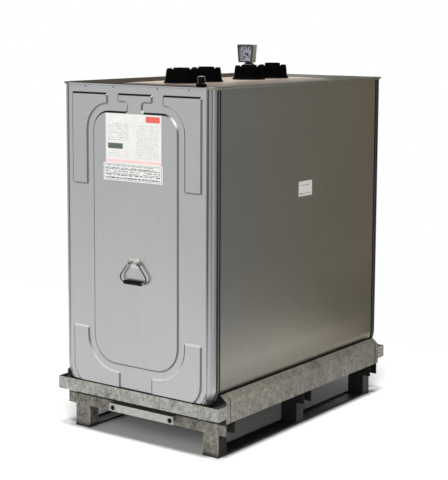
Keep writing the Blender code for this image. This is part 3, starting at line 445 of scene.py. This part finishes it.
# Plastic of the inner tank, with painted shade down its sloping edges, along its front and over its right
# side
TANK_PLASTIC = moulded(
    "cream_polyethylene", "#C0AE9E", "#B5A392", 160, 0.5, grit=4.0,
    stains_and_light=(("#4A433B", 0.85, (("Z", 1.30, 1.4455, 0.0050),)),
            ("#2E2822", 0.80, (("+Y", -0.64, -0.47, 0.0700),)),
            ("#5A564E", 0.70, (("+X", 0.150, 0.40, 0.0900),))))

# Plastic, print and rubber of the fittings
CAP_PLASTIC = moulded("black_polypropylene", "#040404", "#020202", 30, 0.70, shine=0.03)
GRIP_PLASTIC = moulded("black_grip_plastic", "#050505", "#030303", 20, 0.50, shine=0.10)
GAUGE_PLASTIC = moulded("grey_gauge_housing", "#AEACA0", "#A09E92", 30, 0.5)
BEZEL_PLASTIC = moulded("navy_gauge_frame", "#26263F", "#1D1D33", 20, 0.35)
STEM_PLASTIC = moulded("dark_gauge_stem", "#1C1C26", "#14141C", 20, 0.45,
                       stains_and_light=(("#8B8B90", 0.9, (("Z", 1.5100, 1.5186, 0.0002),)),))
DIAL_PAPER = moulded("printed_gauge_dial", "#BDBCCB", "#B2B1C2", 25, 0.6)
INK_BLACK = moulded("black_print", "#030304", "#020202", 10, 0.55, shine=0.04)
SEAL_RUBBER = moulded("brown_seal_rubber", "#2E1D18", "#241611", 15, 0.6)
CLEAR_PLASTIC = clear_acrylic("clear_acrylic", "#E4E6F2")
# Smoked dome, with painted highlights along its edges
DOME_PLASTIC = moulded("smoked_indicator_dome", "#060607", "#040405", 12, 0.35, shine=0.05,
                       stains_and_light=(("#C9CBCB", 0.85, (("X", 0.290, 0.3063, 0.0006),)),
                               ("#C9CBCB", 0.85, (("Y", 0.600, 0.6241, 0.0006),)),
                               ("#C9CBCB", 0.80, (("Z", 1.4962, 1.50, 0.0004),))))
DENT_SHADE = moulded("dull_punched_dent", "#2E2E2B", "#252522", 4, 0.7)


# Modelling helpers


def select_only(piece):
    """Leave object mode, drop what is selected and take up one piece, if any."""
    if bpy.context.object is not None and bpy.context.object.mode != "OBJECT":
        bpy.ops.object.mode_set(mode="OBJECT")
    bpy.ops.object.select_all(action="DESELECT")
    if piece is not None:
        piece.select_set(True)
        bpy.context.view_layer.objects.active = piece


def settle(piece):
    """Apply modifiers and placement, so that the object sits unturned at the origin."""
    select_only(piece)
    for change in list(piece.modifiers):
        bpy.ops.object.modifier_apply(modifier=change.name)
    bpy.ops.object.transform_apply(location=True, rotation=True, scale=True)


def rolled(piece, width, segments=2, angle=35):
    """Round the sharp edges by a width in metres."""
    edge = piece.modifiers.new("rolled_edge", "BEVEL")
    edge.width = width
    edge.segments = segments
    edge.limit_method = "ANGLE"
    edge.angle_limit = math.radians(angle)
    return piece


def shade(piece, angle=40):
    """Smooth shading that keeps flats flat and real edges sharp."""
    select_only(piece)
    bpy.ops.object.shade_smooth_by_angle(angle=math.radians(angle))
    even = piece.modifiers.new("even_flats", "WEIGHTED_NORMAL")
    even.keep_sharp = True
    bpy.ops.object.modifier_apply(modifier=even.name)


def publish(piece, name, body, finish, stands_for=()):
    """Name a finished piece, give it its material and let it ride on its body."""
    piece.name = name
    piece.data.name = name
    if finish is not None:
        piece.data.materials.clear()
        piece.data.materials.append(finish)
    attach(piece, body)
    if stands_for:
        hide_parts(*stands_for)


def dress(node, finish, width, angle=35):
    """A smooth copy of a solid stands for it: doubles merged, flats joined, edges rolled."""
    piece = bpy.data.objects.new(node + "_skin", frame["nodes"][node].data.copy())
    bpy.context.scene.collection.objects.link(piece)
    select_only(piece)
    if piece.data.has_custom_normals:
        bpy.ops.mesh.customdata_custom_splitnormals_clear()
    bpy.ops.object.mode_set(mode="EDIT")
    bpy.ops.mesh.select_all(action="SELECT")
    bpy.ops.mesh.remove_doubles(threshold=0.00002)
    bpy.ops.mesh.dissolve_limited(angle_limit=math.radians(0.5))
    bpy.ops.object.mode_set(mode="OBJECT")
    if width:
        rolled(piece, width, angle=angle)
    settle(piece)
    shade(piece)
    publish(piece, node + "_skin", BODY_OF[node], finish, (node,))


def join(pieces):
    """Join several objects into the first."""
    select_only(pieces[0])
    for piece in pieces[1:]:
        piece.select_set(True)
    bpy.ops.object.join()
    return pieces[0]


def copies(piece, moves):
    """One copy of a piece, with its own mesh, for each matrix."""
    made = []
    for move in moves:
        twin = bpy.data.objects.new(piece.name, piece.data.copy())
        bpy.context.scene.collection.objects.link(twin)
        twin.matrix_world = move @ piece.matrix_world
        made.append(twin)
    bpy.data.objects.remove(piece)
    return made


def facing(point, direction):
    """Matrix that carries a piece modelled at the origin facing +Z to a point, facing a direction."""
    return Matrix.Translation(point) @ Vector(direction).to_track_quat("Z", "Y").to_matrix().to_4x4()


def box(low, high):
    """A block between two corners, to be shaped further."""
    select_only(None)
    centre = [(a + b) / 2 for a, b in zip(low, high)]
    bpy.ops.mesh.primitive_cube_add(size=1, location=centre)
    piece = bpy.context.object
    piece.scale = [b - a for a, b in zip(low, high)]
    bpy.ops.object.transform_apply(location=True, rotation=True, scale=True)
    return piece


def turned(levels, sides):
    """A round piece facing +Z from (radius, height) levels, bottom first, with closed ends."""
    select_only(None)
    radius, height = levels[0]
    bpy.ops.mesh.primitive_circle_add(vertices=sides, radius=radius, fill_type="NGON",
                                      location=(0, 0, height))
    piece = bpy.context.object
    bpy.ops.object.mode_set(mode="EDIT")
    bpy.ops.mesh.select_all(action="SELECT")
    for wider, higher in levels[1:]:
        bpy.ops.mesh.extrude_region_move(TRANSFORM_OT_translate={"value": (0, 0, higher - height)})
        bpy.ops.transform.resize(value=(wider / radius, wider / radius, 1))
        radius, height = wider, higher
    bpy.ops.mesh.select_all(action="SELECT")
    bpy.ops.mesh.normals_make_consistent(inside=False)
    bpy.ops.object.mode_set(mode="OBJECT")
    bpy.ops.object.transform_apply(location=True, rotation=True, scale=True)
    return piece


def row_of(model, places, name, finish, shade_angle):
    """Set copies of a small fixing at (point, direction) places and publish them as one piece."""
    row = join(copies(model, [facing(point, direction) for point, direction in places]))
    settle(row)
    shade(row, shade_angle)
    publish(row, name, "tank", finish)


# Dressed solids

dress("front_panel", PANEL_STEEL, 0.0014, angle=24)
dress("back_panel", BACK_STEEL, 0.0014, angle=24)
dress("front_seam", SEAM_STEEL, 0.0006)
dress("back_seam", BACK_SEAM_STEEL, 0.0006)
for node in ("left_wall", "right_wall", "bottom_sheet"):
    dress(node, WALL_STEEL, 0.0005)
for node in ("left_rim", "right_rim"):
    dress(node, RIM_STEEL, 0.0005)
for node in ("front_rail", "back_rail"):
    dress(node, END_RAIL_ZINC, 0.0010)
for node in ("left_rail", "right_rail"):
    dress(node, SIDE_RAIL_ZINC, 0.0010)
for node in ("front_cross_member", "front_left_foot", "front_right_foot"):
    dress(node, FOOT_ZINC, 0.0012)
for node in ("middle_cross_member", "back_cross_member", "middle_left_foot", "middle_right_foot",
             "back_left_foot", "back_right_foot"):
    dress(node, BACK_FOOT_ZINC, 0.0012)
for node in ("left_runner", "right_runner"):
    dress(node, RUNNER_ZINC, 0.0012)
dress("tie_plate", TIE_STEEL, 0.0012)
for node in ("inner_tank_body", "inner_tank_top"):
    dress(node, TANK_PLASTIC, 0.0015)
for node in CAPS:
    dress(node, CAP_PLASTIC, 0.0012)
dress("gauge_stem", STEM_PLASTIC, 0.0008)
dress("gauge_housing", GAUGE_PLASTIC, 0.0012)
dress("gauge_dial", DIAL_PAPER, 0.0)
dress("gauge_needle", INK_BLACK, 0.0002)
dress("gauge_window", CLEAR_PLASTIC, 0.0003)
dress("leak_indicator_base", CAP_PLASTIC, 0.0008)
dress("leak_indicator_dome", DOME_PLASTIC, 0.0010)
for end, sign in ENDS:
    dress(end + "_handle_bracket", PLATED_STEEL, 0.0006)
    dress(end + "_handle_grip", GRIP_PLASTIC, 0.0012)


# Handle wire, with the half widths, drops and bends of the bail's middle line

WIRE_RADIUS = 0.00325
WIRE_END = 0.012
EYE_BEND = 0.006
EYE_DIP = 0.004
NECK_HALF = 0.029
SPREAD_HALF = 0.066
BAIL_DROP = 0.077
BAIL_BEND = 0.020


def wire_half():
    """Right half of the bail's middle line as (across, up from the pivot), from the eye to the grip."""
    half = [(WIRE_END, 0.0), (NECK_HALF - EYE_BEND, 0.0)]
    eye_steps = 4
    for step in range(eye_steps + 1):
        angle = step / eye_steps * math.pi / 2
        half.append((NECK_HALF - EYE_BEND + EYE_BEND * math.sin(angle), -EYE_DIP * (1 - math.cos(angle))))
    start = math.atan2(SPREAD_HALF - NECK_HALF, BAIL_DROP - BAIL_BEND)
    bend_steps = 12
    for step in range(bend_steps + 1):
        angle = start - (start + math.pi / 2) * step / bend_steps
        half.append((SPREAD_HALF - BAIL_BEND + BAIL_BEND * math.cos(angle),
                     -BAIL_DROP + BAIL_BEND + BAIL_BEND * math.sin(angle)))
    return half


def handle_wire(end, sign):
    """Round wire of one drop handle, bent as its solid is, with smooth bends."""
    name = end + "_handle_wire"
    half = wire_half()
    points = half + [(-across, up) for across, up in reversed(half)]
    curve = bpy.data.curves.new(name, "CURVE")
    curve.dimensions = "3D"
    curve.bevel_depth = WIRE_RADIUS
    curve.bevel_resolution = 4
    curve.use_fill_caps = True
    spline = curve.splines.new("POLY")
    spline.points.add(len(points) - 1)
    for target, (across, up) in zip(spline.points, points):
        target.co = (across, sign * HANDLE_PLANE, HANDLE_PIVOT + up, 1.0)
    wire = bpy.data.objects.new(name, curve)
    bpy.context.scene.collection.objects.link(wire)
    select_only(wire)
    bpy.ops.object.convert(target="MESH")
    wire = bpy.context.object
    shade(wire)
    bail = end + "_handle_bail"
    publish(wire, name, BODY_OF[bail], WIRE_STEEL, (bail,))


for end, sign in ENDS:
    handle_wire(end, sign)


# Rivets

RAIL_RIVET_RADIUS = 0.0070
RAIL_RIVET_HALF = 0.339
RAIL_RIVET_HEIGHT = 0.199
HANDLE_RIVET_RADIUS = 0.0035
HANDLE_RIVET_HALF = 0.0125
HANDLE_RIVET_HEIGHT = 0.7585
RIVET_SUNK = 0.0004
RIVET_RIM = 0.0006
# The dome over the rim, as (across, up) shares of the head's radius
RIVET_DOME = ((0.92, 0.26), (0.66, 0.44), (0.30, 0.53))


def rivet_pair(name, radius, half, depth, height, sign, finish):
    """Two dome-headed rivets beside the middle of an end."""
    head = turned([(radius, -RIVET_SUNK), (radius, RIVET_RIM)]
                  + [(radius * across, radius * up) for across, up in RIVET_DOME], 20)
    places = [((x, sign * depth, height), (0, sign, 0)) for x in (-half, half)]
    row_of(head, places, name, finish, 50)


for end, sign in ENDS:
    rivet_pair(end + "_rail_rivets", RAIL_RIVET_RADIUS, RAIL_RIVET_HALF, END_RAIL_FACE, RAIL_RIVET_HEIGHT,
               sign, END_RAIL_ZINC)
    rivet_pair(end + "_handle_rivets", HANDLE_RIVET_RADIUS, HANDLE_RIVET_HALF, HANDLE_PLATE,
               HANDLE_RIVET_HEIGHT, sign, PLATED_STEEL)


# Tie plate bolts

BOLT_HALF = 0.150
BOLT_HEIGHT = 0.118
BOLT_RADIUS = 0.0075
BOLT_TOP = 0.0070
WASHER_RADIUS = 0.0105
WASHER_TOP = 0.0017


def tie_plate_bolts():
    """Hexagon bolt heads with chamfered edges, on washers."""
    washer = turned([(WASHER_RADIUS, 0.0), (WASHER_RADIUS, WASHER_TOP - 0.0004),
                     (WASHER_RADIUS - 0.0005, WASHER_TOP), (0.0040, WASHER_TOP)], 24)
    head = turned([(BOLT_RADIUS - 0.0003, WASHER_TOP), (BOLT_RADIUS, WASHER_TOP + 0.0004),
                   (BOLT_RADIUS, BOLT_TOP - 0.0008), (BOLT_RADIUS - 0.0009, BOLT_TOP),
                   (0.0030, BOLT_TOP - 0.0002)], 6)
    places = [((x, -TIE_FACE, BOLT_HEIGHT), (0, -1, 0)) for x in (-BOLT_HALF, BOLT_HALF)]
    row_of(join([washer, head]), places, "tie_plate_bolts", BOLT_STEEL, 30)


tie_plate_bolts()


# Punched locking dents under the rim, from left to right as each side is seen from outside

DENT_HEIGHT = 1.4425
END_DENTS = (-0.260, -0.113, 0.113, 0.266)
WALL_DENTS = (-0.559, -0.495, -0.352, -0.191, -0.009, 0.174, 0.356, 0.496, 0.547)


def dent_row(name, places, finish):
    """A low collar round a dark hollow, at each place."""
    collar = turned([(0.0042, -0.0003), (0.0040, 0.0004), (0.0031, 0.0006), (0.0026, 0.0002)], 16)
    collar.data.materials.append(finish)
    hollow = turned([(0.0027, 0.0001), (0.0024, 0.0003), (0.0010, 0.0002)], 16)
    hollow.data.materials.append(DENT_SHADE)
    row_of(join([collar, hollow]), places, name, None, 50)


for end, sign in ENDS:
    places = [((-sign * x, sign * PANEL_FACE, DENT_HEIGHT), (0, sign, 0)) for x in END_DENTS]
    dent_row(end + "_panel_dents", places, PANEL_STEEL)
for side, sign in WALLS:
    places = [((sign * WALL_FACE, sign * y, DENT_HEIGHT), (sign, 0, 0)) for y in WALL_DENTS]
    dent_row(side + "_wall_dents", places, WALL_STEEL)


# Cap seals

SEAL_RADIUS = 0.0712
SEAL_HALF_THICKNESS = 0.0020
SEAL_LIFT = 0.0010

for number, station in enumerate(CAP_STATIONS, start=1):
    select_only(None)
    bpy.ops.mesh.primitive_torus_add(
        location=(0, station, TANK_TOP + SEAL_LIFT), major_radius=SEAL_RADIUS,
        minor_radius=SEAL_HALF_THICKNESS, major_segments=64, minor_segments=10)
    seal = bpy.context.object
    settle(seal)
    shade(seal, 60)
    publish(seal, f"cap_seal_{number}", "tank", SEAL_RUBBER)


# Gauge frame and ribs

FRAME_STAND = 0.0016
FRAME_WIDTH = 0.0066
FRAME_DEPTH = 0.0040
FRAME_CORNER = 0.006


def gauge_frame():
    """Navy frame round the dial opening, set on the front of the housing."""
    select_only(None)
    bpy.ops.mesh.primitive_plane_add(size=1, rotation=(math.pi / 2, 0, 0))
    piece = bpy.context.object
    bpy.ops.object.transform_apply(location=True, rotation=True, scale=True)
    middle = (GAUGE_BOTTOM + GAUGE_TOP) / 2
    piece.location = (0, GAUGE_FRONT + FRAME_STAND, middle)
    piece.scale = (2 * GAUGE_HALF_LOW, 1, GAUGE_TOP - GAUGE_BOTTOM)
    bpy.ops.object.transform_apply(location=True, rotation=True, scale=True)
    # The upper edge is wider
    bpy.ops.object.mode_set(mode="EDIT")
    bpy.ops.mesh.select_all(action="DESELECT")
    bpy.ops.object.mode_set(mode="OBJECT")
    for vertex in piece.data.vertices:
        vertex.select = vertex.co.z > middle
    bpy.ops.object.mode_set(mode="EDIT")
    bpy.ops.transform.resize(value=(GAUGE_HALF_TOP / GAUGE_HALF_LOW, 1, 1))
    bpy.ops.mesh.select_all(action="SELECT")
    bpy.ops.mesh.bevel(offset=FRAME_CORNER, segments=4, affect="VERTICES")
    bpy.ops.mesh.inset(thickness=FRAME_WIDTH, depth=0)
    bpy.ops.mesh.delete(type="FACE")
    bpy.ops.object.mode_set(mode="OBJECT")
    wall = piece.modifiers.new("depth", "SOLIDIFY")
    wall.thickness = FRAME_DEPTH
    wall.offset = 0.0
    rolled(piece, 0.0008)
    settle(piece)
    shade(piece)
    publish(piece, "gauge_frame", "tank", BEZEL_PLASTIC)


RIB_COUNT = 7
RIB_START = 0.006
RIB_PITCH = 0.0037
RIB_HALF = 0.0009
RIB_PROUD = 0.0008
RIB_BOTTOM = 1.530
RIB_TOP = 1.599
CHEEK = 0.0388


def gauge_ribs():
    """Upright ribs on both leaning cheeks of the gauge housing."""
    lean = math.atan2(GAUGE_HALF_TOP - GAUGE_HALF_LOW, GAUGE_TOP - GAUGE_BOTTOM)
    made = []
    for sign in (-1, 1):
        for index in range(RIB_COUNT):
            y = GAUGE_FRONT + RIB_START + RIB_PITCH * index
            rib = box((-RIB_PROUD, y - RIB_HALF, RIB_BOTTOM), (RIB_PROUD, y + RIB_HALF, RIB_TOP))
            bpy.ops.transform.rotate(value=-sign * lean, orient_axis="Y",
                                     center_override=(0, y, (RIB_BOTTOM + RIB_TOP) / 2))
            rib.location.x += sign * CHEEK
            settle(rib)
            made.append(rib)
    ribs = rolled(join(made), 0.0004)
    settle(ribs)
    shade(ribs)
    publish(ribs, "gauge_ribs", "tank", GAUGE_PLASTIC)


gauge_frame()
gauge_ribs()


# Gauge print, with angles in degrees and distances from the hub

SCALE_STEPS = 8
SCALE_START = 225.0
SCALE_END = -45.0
TICK_OUTER = 0.0245
LONG_TICK_INNER = 0.0205
LONG_TICK_HALF = 0.0011
SHORT_TICK_INNER = 0.0220
SHORT_TICK_HALF = 0.0007
DIGIT_REACH = 0.0288
DIGIT_SIZE = 0.0124
DIGIT_WEIGHT = 0.0008
DIGIT_HALF = 0.00008
MARK_RADIUS = 0.0072
MARK_LEFT = 0.0130
MARK_DROP = 0.0135
PRINT_GAP = 0.00015
PRINT_HALF = 0.0001


def dial_tick(index, face):
    """One tick of the scale, a long one at each number."""
    angle = SCALE_START + (SCALE_END - SCALE_START) * index / (SCALE_STEPS * 2)
    long = index % 2 == 0
    inner = LONG_TICK_INNER if long else SHORT_TICK_INNER
    half = LONG_TICK_HALF if long else SHORT_TICK_HALF
    tick = box((inner, face - PRINT_HALF, HUB_HEIGHT - half),
               (TICK_OUTER, face + PRINT_HALF, HUB_HEIGHT + half))
    hub = Vector((0.0, DIAL_FACE, HUB_HEIGHT))
    turn = Matrix.Rotation(-math.radians(angle), 4, "Y")
    tick.data.transform(Matrix.Translation(hub) @ turn @ Matrix.Translation(-hub))
    return tick


def dial_digit(index, face):
    """One plain number outside the ticks."""
    angle = math.radians(SCALE_START + (SCALE_END - SCALE_START) * index / SCALE_STEPS)
    select_only(None)
    bpy.ops.object.text_add(location=(0, 0, 0))
    text = bpy.context.object.data
    text.body = str(index)
    text.size = DIGIT_SIZE
    text.offset = DIGIT_WEIGHT
    text.align_x = "CENTER"
    text.align_y = "CENTER"
    text.extrude = DIGIT_HALF
    bpy.ops.object.convert(target="MESH")
    digit = bpy.context.object
    digit.location = (DIGIT_REACH * math.cos(angle), face, HUB_HEIGHT + DIGIT_REACH * math.sin(angle))
    digit.rotation_euler = (math.pi / 2, 0, 0)
    settle(digit)
    return digit


def full_mark(face):
    """A small filled triangle, point down, left below the hub."""
    mark = turned([(MARK_RADIUS, -PRINT_HALF), (MARK_RADIUS - 0.0002, PRINT_HALF)], 3)
    spot = facing((-MARK_LEFT, face, HUB_HEIGHT - MARK_DROP), (0, -1, 0))
    placed = copies(mark, [spot @ Matrix.Rotation(math.pi, 4, "Z")])[0]
    settle(placed)
    return placed


def gauge_print():
    """Scale of the dial: ticks round the hub, plain numbers, and the mark."""
    face = DIAL_FACE - PRINT_GAP
    made = [dial_tick(index, face) for index in range(SCALE_STEPS * 2 + 1)]
    made += [dial_digit(index, face) for index in range(SCALE_STEPS + 1)]
    made.append(full_mark(face))
    printed = join(made)
    shade(printed, 30)
    publish(printed, "gauge_scale_print", "tank", INK_BLACK)


gauge_print()


# Labels

# Word-like bars about this long in millimetres, inked over this share of the line pitch
WORD_LENGTH = 6.25
INKED_SHARE = 0.45
# How far apart in the noise the lines are read, and the level above which it makes a word
LINE_STEP = 7.3
WORD_LEVEL = 0.46


def printed_label(name, across_axis, bars, blocks):
    """Coated paper with generic print: rows of grey bars and plain colour blocks.

    blocks are (low, high, bottom, top, hex code) across and up the sheet. bars are
    (low, high, bottom, top, line pitch, hex code).
    """
    material, tree, shader, place = finish_of(name)
    split = add(tree, "SeparateXYZ", {"Vector": place})
    across, upward = split.outputs[across_axis], split.outputs["Z"]
    fibre = add(tree, "TexNoise", {"Vector": place, "Scale": per_metre(30), "Detail": 2.0})
    paper = add(tree, "ValToRGB", {"Fac": fibre.outputs["Fac"]},
                stops=((0.3, "#D8D8D5"), (0.7, "#E0E0DD")))
    colour = paper.outputs["Color"]

    def inside(low, high, bottom, top):
        wide = add(tree, "Math", {0: across, 1: (low + high) / 2, 2: (high - low) / 2},
                   operation="COMPARE")
        tall = add(tree, "Math", {0: upward, 1: (bottom + top) / 2, 2: (top - bottom) / 2},
                   operation="COMPARE")
        both = add(tree, "Math", {0: wide.outputs[0], 1: tall.outputs[0]}, operation="MULTIPLY")
        return both.outputs[0]

    for low, high, bottom, top, code in blocks:
        area = inside(low, high, bottom, top)
        colour = add(tree, "Mix", {"Factor": area, "A": colour, "B": paint(code)},
                     data_type="RGBA").outputs[2]
    for low, high, bottom, top, pitch, code in bars:
        # Each line is split into words by a noise that is read once per line
        row = add(tree, "Math", {0: upward, 1: 1 / pitch}, operation="MULTIPLY")
        line = add(tree, "Math", {0: row.outputs[0]}, operation="FLOOR")
        phase = add(tree, "Math", {0: row.outputs[0]}, operation="FRACT")
        inked = add(tree, "Math", {0: phase.outputs[0], 1: INKED_SHARE}, operation="LESS_THAN")
        step = add(tree, "Math", {0: line.outputs[0], 1: LINE_STEP}, operation="MULTIPLY")
        run = add(tree, "Math", {0: across, 1: per_metre(WORD_LENGTH)}, operation="MULTIPLY")
        spot = add(tree, "CombineXYZ", {"X": run.outputs[0], "Y": step.outputs[0]})
        words = add(tree, "TexNoise", {"Vector": spot.outputs[0], "Scale": 1.0, "Detail": 1.0})
        word = add(tree, "Math", {0: words.outputs["Fac"], 1: WORD_LEVEL}, operation="GREATER_THAN")
        both = add(tree, "Math", {0: inked.outputs[0], 1: word.outputs[0]}, operation="MULTIPLY")
        area = inside(low, high, bottom, top)
        mask = add(tree, "Math", {0: both.outputs[0], 1: area}, operation="MULTIPLY")
        colour = add(tree, "Mix", {"Factor": mask.outputs[0], "A": colour, "B": paint(code)},
                     data_type="RGBA").outputs[2]
    tree.links.new(colour, shader.inputs["Base Color"])
    set_sockets(shader, Roughness=0.35)
    return material


def label(name, low, high, finish):
    """A thin printed sheet with rounded edges."""
    piece = box(low, high)
    rolled(piece, 0.0001, 1)
    settle(piece)
    shade(piece, 30)
    publish(piece, name, "tank", finish)


# How far the back and the front of each sheet stand off the steel
SHEET_GAP = 0.00005
SHEET_FRONT = 0.0003
DATA_SHEET_FRONT = 0.0004
FRAME_LINE = "#3A3C42"
RULE_LINE = "#6A6C70"
MAIN_LABEL = printed_label(
    "coated_paper_main", "X",
    bars=((-0.137, -0.030, 1.228, 1.300, 0.0090, "#B9BBB8"),
          (0.010, 0.124, 1.164, 1.300, 0.0085, "#BFC1BE"),
          (-0.137, -0.030, 1.164, 1.190, 0.0090, "#C4C6C3")),
    blocks=((0.058, 0.128, 1.309, 1.333, "#DB5A50"),
            (-0.137, -0.060, 1.199, 1.221, "#4B5A48"),
            (-0.149, 0.136, 1.146, 1.156, "#EDBFBF")))
DATA_LABEL = printed_label(
    "coated_paper_data", "X",
    bars=((-0.148, 0.095, 1.121, 1.133, 0.0100, "#7C7E7E"),
          (-0.150, 0.131, 1.100, 1.118, 0.0082, "#6E7072"),
          (-0.150, 0.131, 1.080, 1.096, 0.0120, "#55575A")),
    blocks=((-0.156, 0.137, 1.1355, 1.1368, FRAME_LINE), (-0.156, 0.137, 1.0752, 1.0765, FRAME_LINE),
            (-0.156, -0.1546, 1.0752, 1.1368, FRAME_LINE), (0.1356, 0.137, 1.0752, 1.1368, FRAME_LINE),
            (-0.156, 0.137, 1.1190, 1.1202, RULE_LINE), (-0.156, 0.137, 1.0970, 1.0980, RULE_LINE)))
SIDE_LABEL = printed_label(
    "coated_paper_side", "Y",
    bars=((-0.028, 0.055, 1.020, 1.032, 0.0080, "#7F7D78"),
          (-0.028, 0.055, 0.986, 0.996, 0.0095, "#9C4A44")),
    blocks=())
label("main_label", (-0.149, -FIELD_FACE - SHEET_FRONT, 1.142),
      (0.136, -FIELD_FACE - SHEET_GAP, 1.339), MAIN_LABEL)
label("data_label", (-0.161, -FIELD_FACE - DATA_SHEET_FRONT, 1.071),
      (0.142, -FIELD_FACE - SHEET_GAP, 1.1415), DATA_LABEL)
label("side_label", (WALL_FACE + SHEET_GAP, -0.038, 0.980),
      (WALL_FACE + SHEET_FRONT, 0.065, 1.043), SIDE_LABEL)


# Floor, light and camera

# The floor reaches further to the left and the front of the tank than to its right and behind it
FLOOR_SIZE = 4.8
FLOOR_MIDDLE = (-1.0, -0.9, 0)


def studio_floor():
    """Plain pale floor under and around the tank."""
    select_only(None)
    bpy.ops.mesh.primitive_plane_add(size=FLOOR_SIZE, location=FLOOR_MIDDLE)
    floor = bpy.context.object
    floor.name = "studio_floor"
    material, tree, shader, place = finish_of("pale_studio_floor")
    cloud = add(tree, "TexNoise", {"Vector": place, "Scale": per_metre(2500), "Detail": 2.0})
    tone = add(tree, "ValToRGB", {"Fac": cloud.outputs["Fac"]},
               stops=((0.3, "#F4F4F4"), (0.7, "#F8F8F8")))
    tree.links.new(tone.outputs["Color"], shader.inputs["Base Color"])
    set_sockets(shader, Roughness=0.9, Specular_IOR_Level=0.1)
    floor.data.materials.append(material)


def studio_sky():
    """Soft studio dome: bright low at the front, dimmer at the back right, dark overhead."""
    world = bpy.data.worlds.new("studio_dome")
    world.use_nodes = True
    tree = world.node_tree
    background = tree.nodes["Background"]
    way = add(tree, "TexCoord").outputs["Generated"]
    split = add(tree, "SeparateXYZ", {"Vector": way})
    front_left = add(tree, "VectorMath", {0: way, 1: (-0.58, -0.80, 0.0)}, operation="DOT_PRODUCT")
    side = add(tree, "MapRange", {"Value": front_left.outputs["Value"], "From Min": -1.0,
                                  "From Max": -0.3, "To Min": 0.22, "To Max": 0.98},
               interpolation_type="SMOOTHSTEP")
    height = add(tree, "MapRange", {"Value": split.outputs["Z"], "From Min": 0.12, "From Max": 0.55,
                                    "To Min": 1.0, "To Max": 0.06}, interpolation_type="SMOOTHSTEP")
    # The dome brightens a little from the horizon up
    lift = add(tree, "MapRange", {"Value": split.outputs["Z"], "From Min": 0.0, "From Max": 0.12,
                                  "To Min": 0.0, "To Max": 0.25})
    around = add(tree, "Math", {0: side.outputs[0], 1: lift.outputs[0]}, operation="ADD")
    dome = add(tree, "Math", {0: around.outputs[0], 1: height.outputs[0]}, operation="MULTIPLY")
    # A small soft lamp high in front puts the glints on the corners of the fields
    aim = add(tree, "VectorMath", {0: way, 1: (0.106, -0.819, 0.561)}, operation="DOT_PRODUCT")
    lamp = add(tree, "MapRange", {"Value": aim.outputs["Value"], "From Min": 0.935, "From Max": 0.980,
                                  "To Min": 0.0, "To Max": 3.0}, interpolation_type="SMOOTHSTEP")
    level = add(tree, "Math", {0: dome.outputs[0], 1: lamp.outputs[0]}, operation="ADD")
    # The lens sees the plain white backdrop behind the dome
    seen = add(tree, "LightPath").outputs["Is Camera Ray"]
    shown = add(tree, "Mix", {"Factor": seen, "A": level.outputs[0], "B": 1.0}, data_type="FLOAT")
    tree.links.new(shown.outputs[0], background.inputs["Strength"])
    background.inputs["Color"].default_value = paint("#FFFFFF")
    bpy.context.scene.world = world


def overhead_light():
    """A large round lamp high above, a little towards the camera."""
    data = bpy.data.lights.new("overhead_lamp", "SUN")
    data.energy = 3.2
    data.angle = math.radians(14)
    lamp = bpy.data.objects.new("overhead_lamp", data)
    bpy.context.scene.collection.objects.link(lamp)
    shining = Vector((-0.16, 0.22, -0.96))
    lamp.rotation_euler = shining.to_track_quat("-Z", "Y").to_euler()


CAMERA_PLACE = (3.3510, -4.6519, 1.7063)
CAMERA_AHEAD = (-0.58326, 0.80213, -0.12803)
CAMERA_ROLL = 0.279
CAMERA_LENS = 99.64
CAMERA_SHIFT = -0.1


def photo_camera():
    """Camera at the photograph's place: about 5.7 m away, a little above the rim."""
    data = bpy.data.cameras.new("photo_camera")
    data.sensor_width = 36.0
    data.lens = CAMERA_LENS
    data.shift_y = CAMERA_SHIFT
    data.clip_start = 0.1
    data.clip_end = 200.0
    camera = bpy.data.objects.new("photo_camera", data)
    bpy.context.scene.collection.objects.link(camera)
    ahead = Vector(CAMERA_AHEAD).normalized()
    across = ahead.cross(Vector((0, 0, 1))).normalized()
    upward = across.cross(ahead)
    roll = math.radians(CAMERA_ROLL)
    right = across * math.cos(roll) + upward * math.sin(roll)
    top = upward * math.cos(roll) - across * math.sin(roll)
    turn = Matrix((right, top, -ahead)).transposed().to_4x4()
    camera.matrix_world = Matrix.Translation(CAMERA_PLACE) @ turn
    bpy.context.scene.camera = camera


studio_floor()
studio_sky()
overhead_light()
photo_camera()
bpy.context.scene.view_settings.view_transform = "Standard"
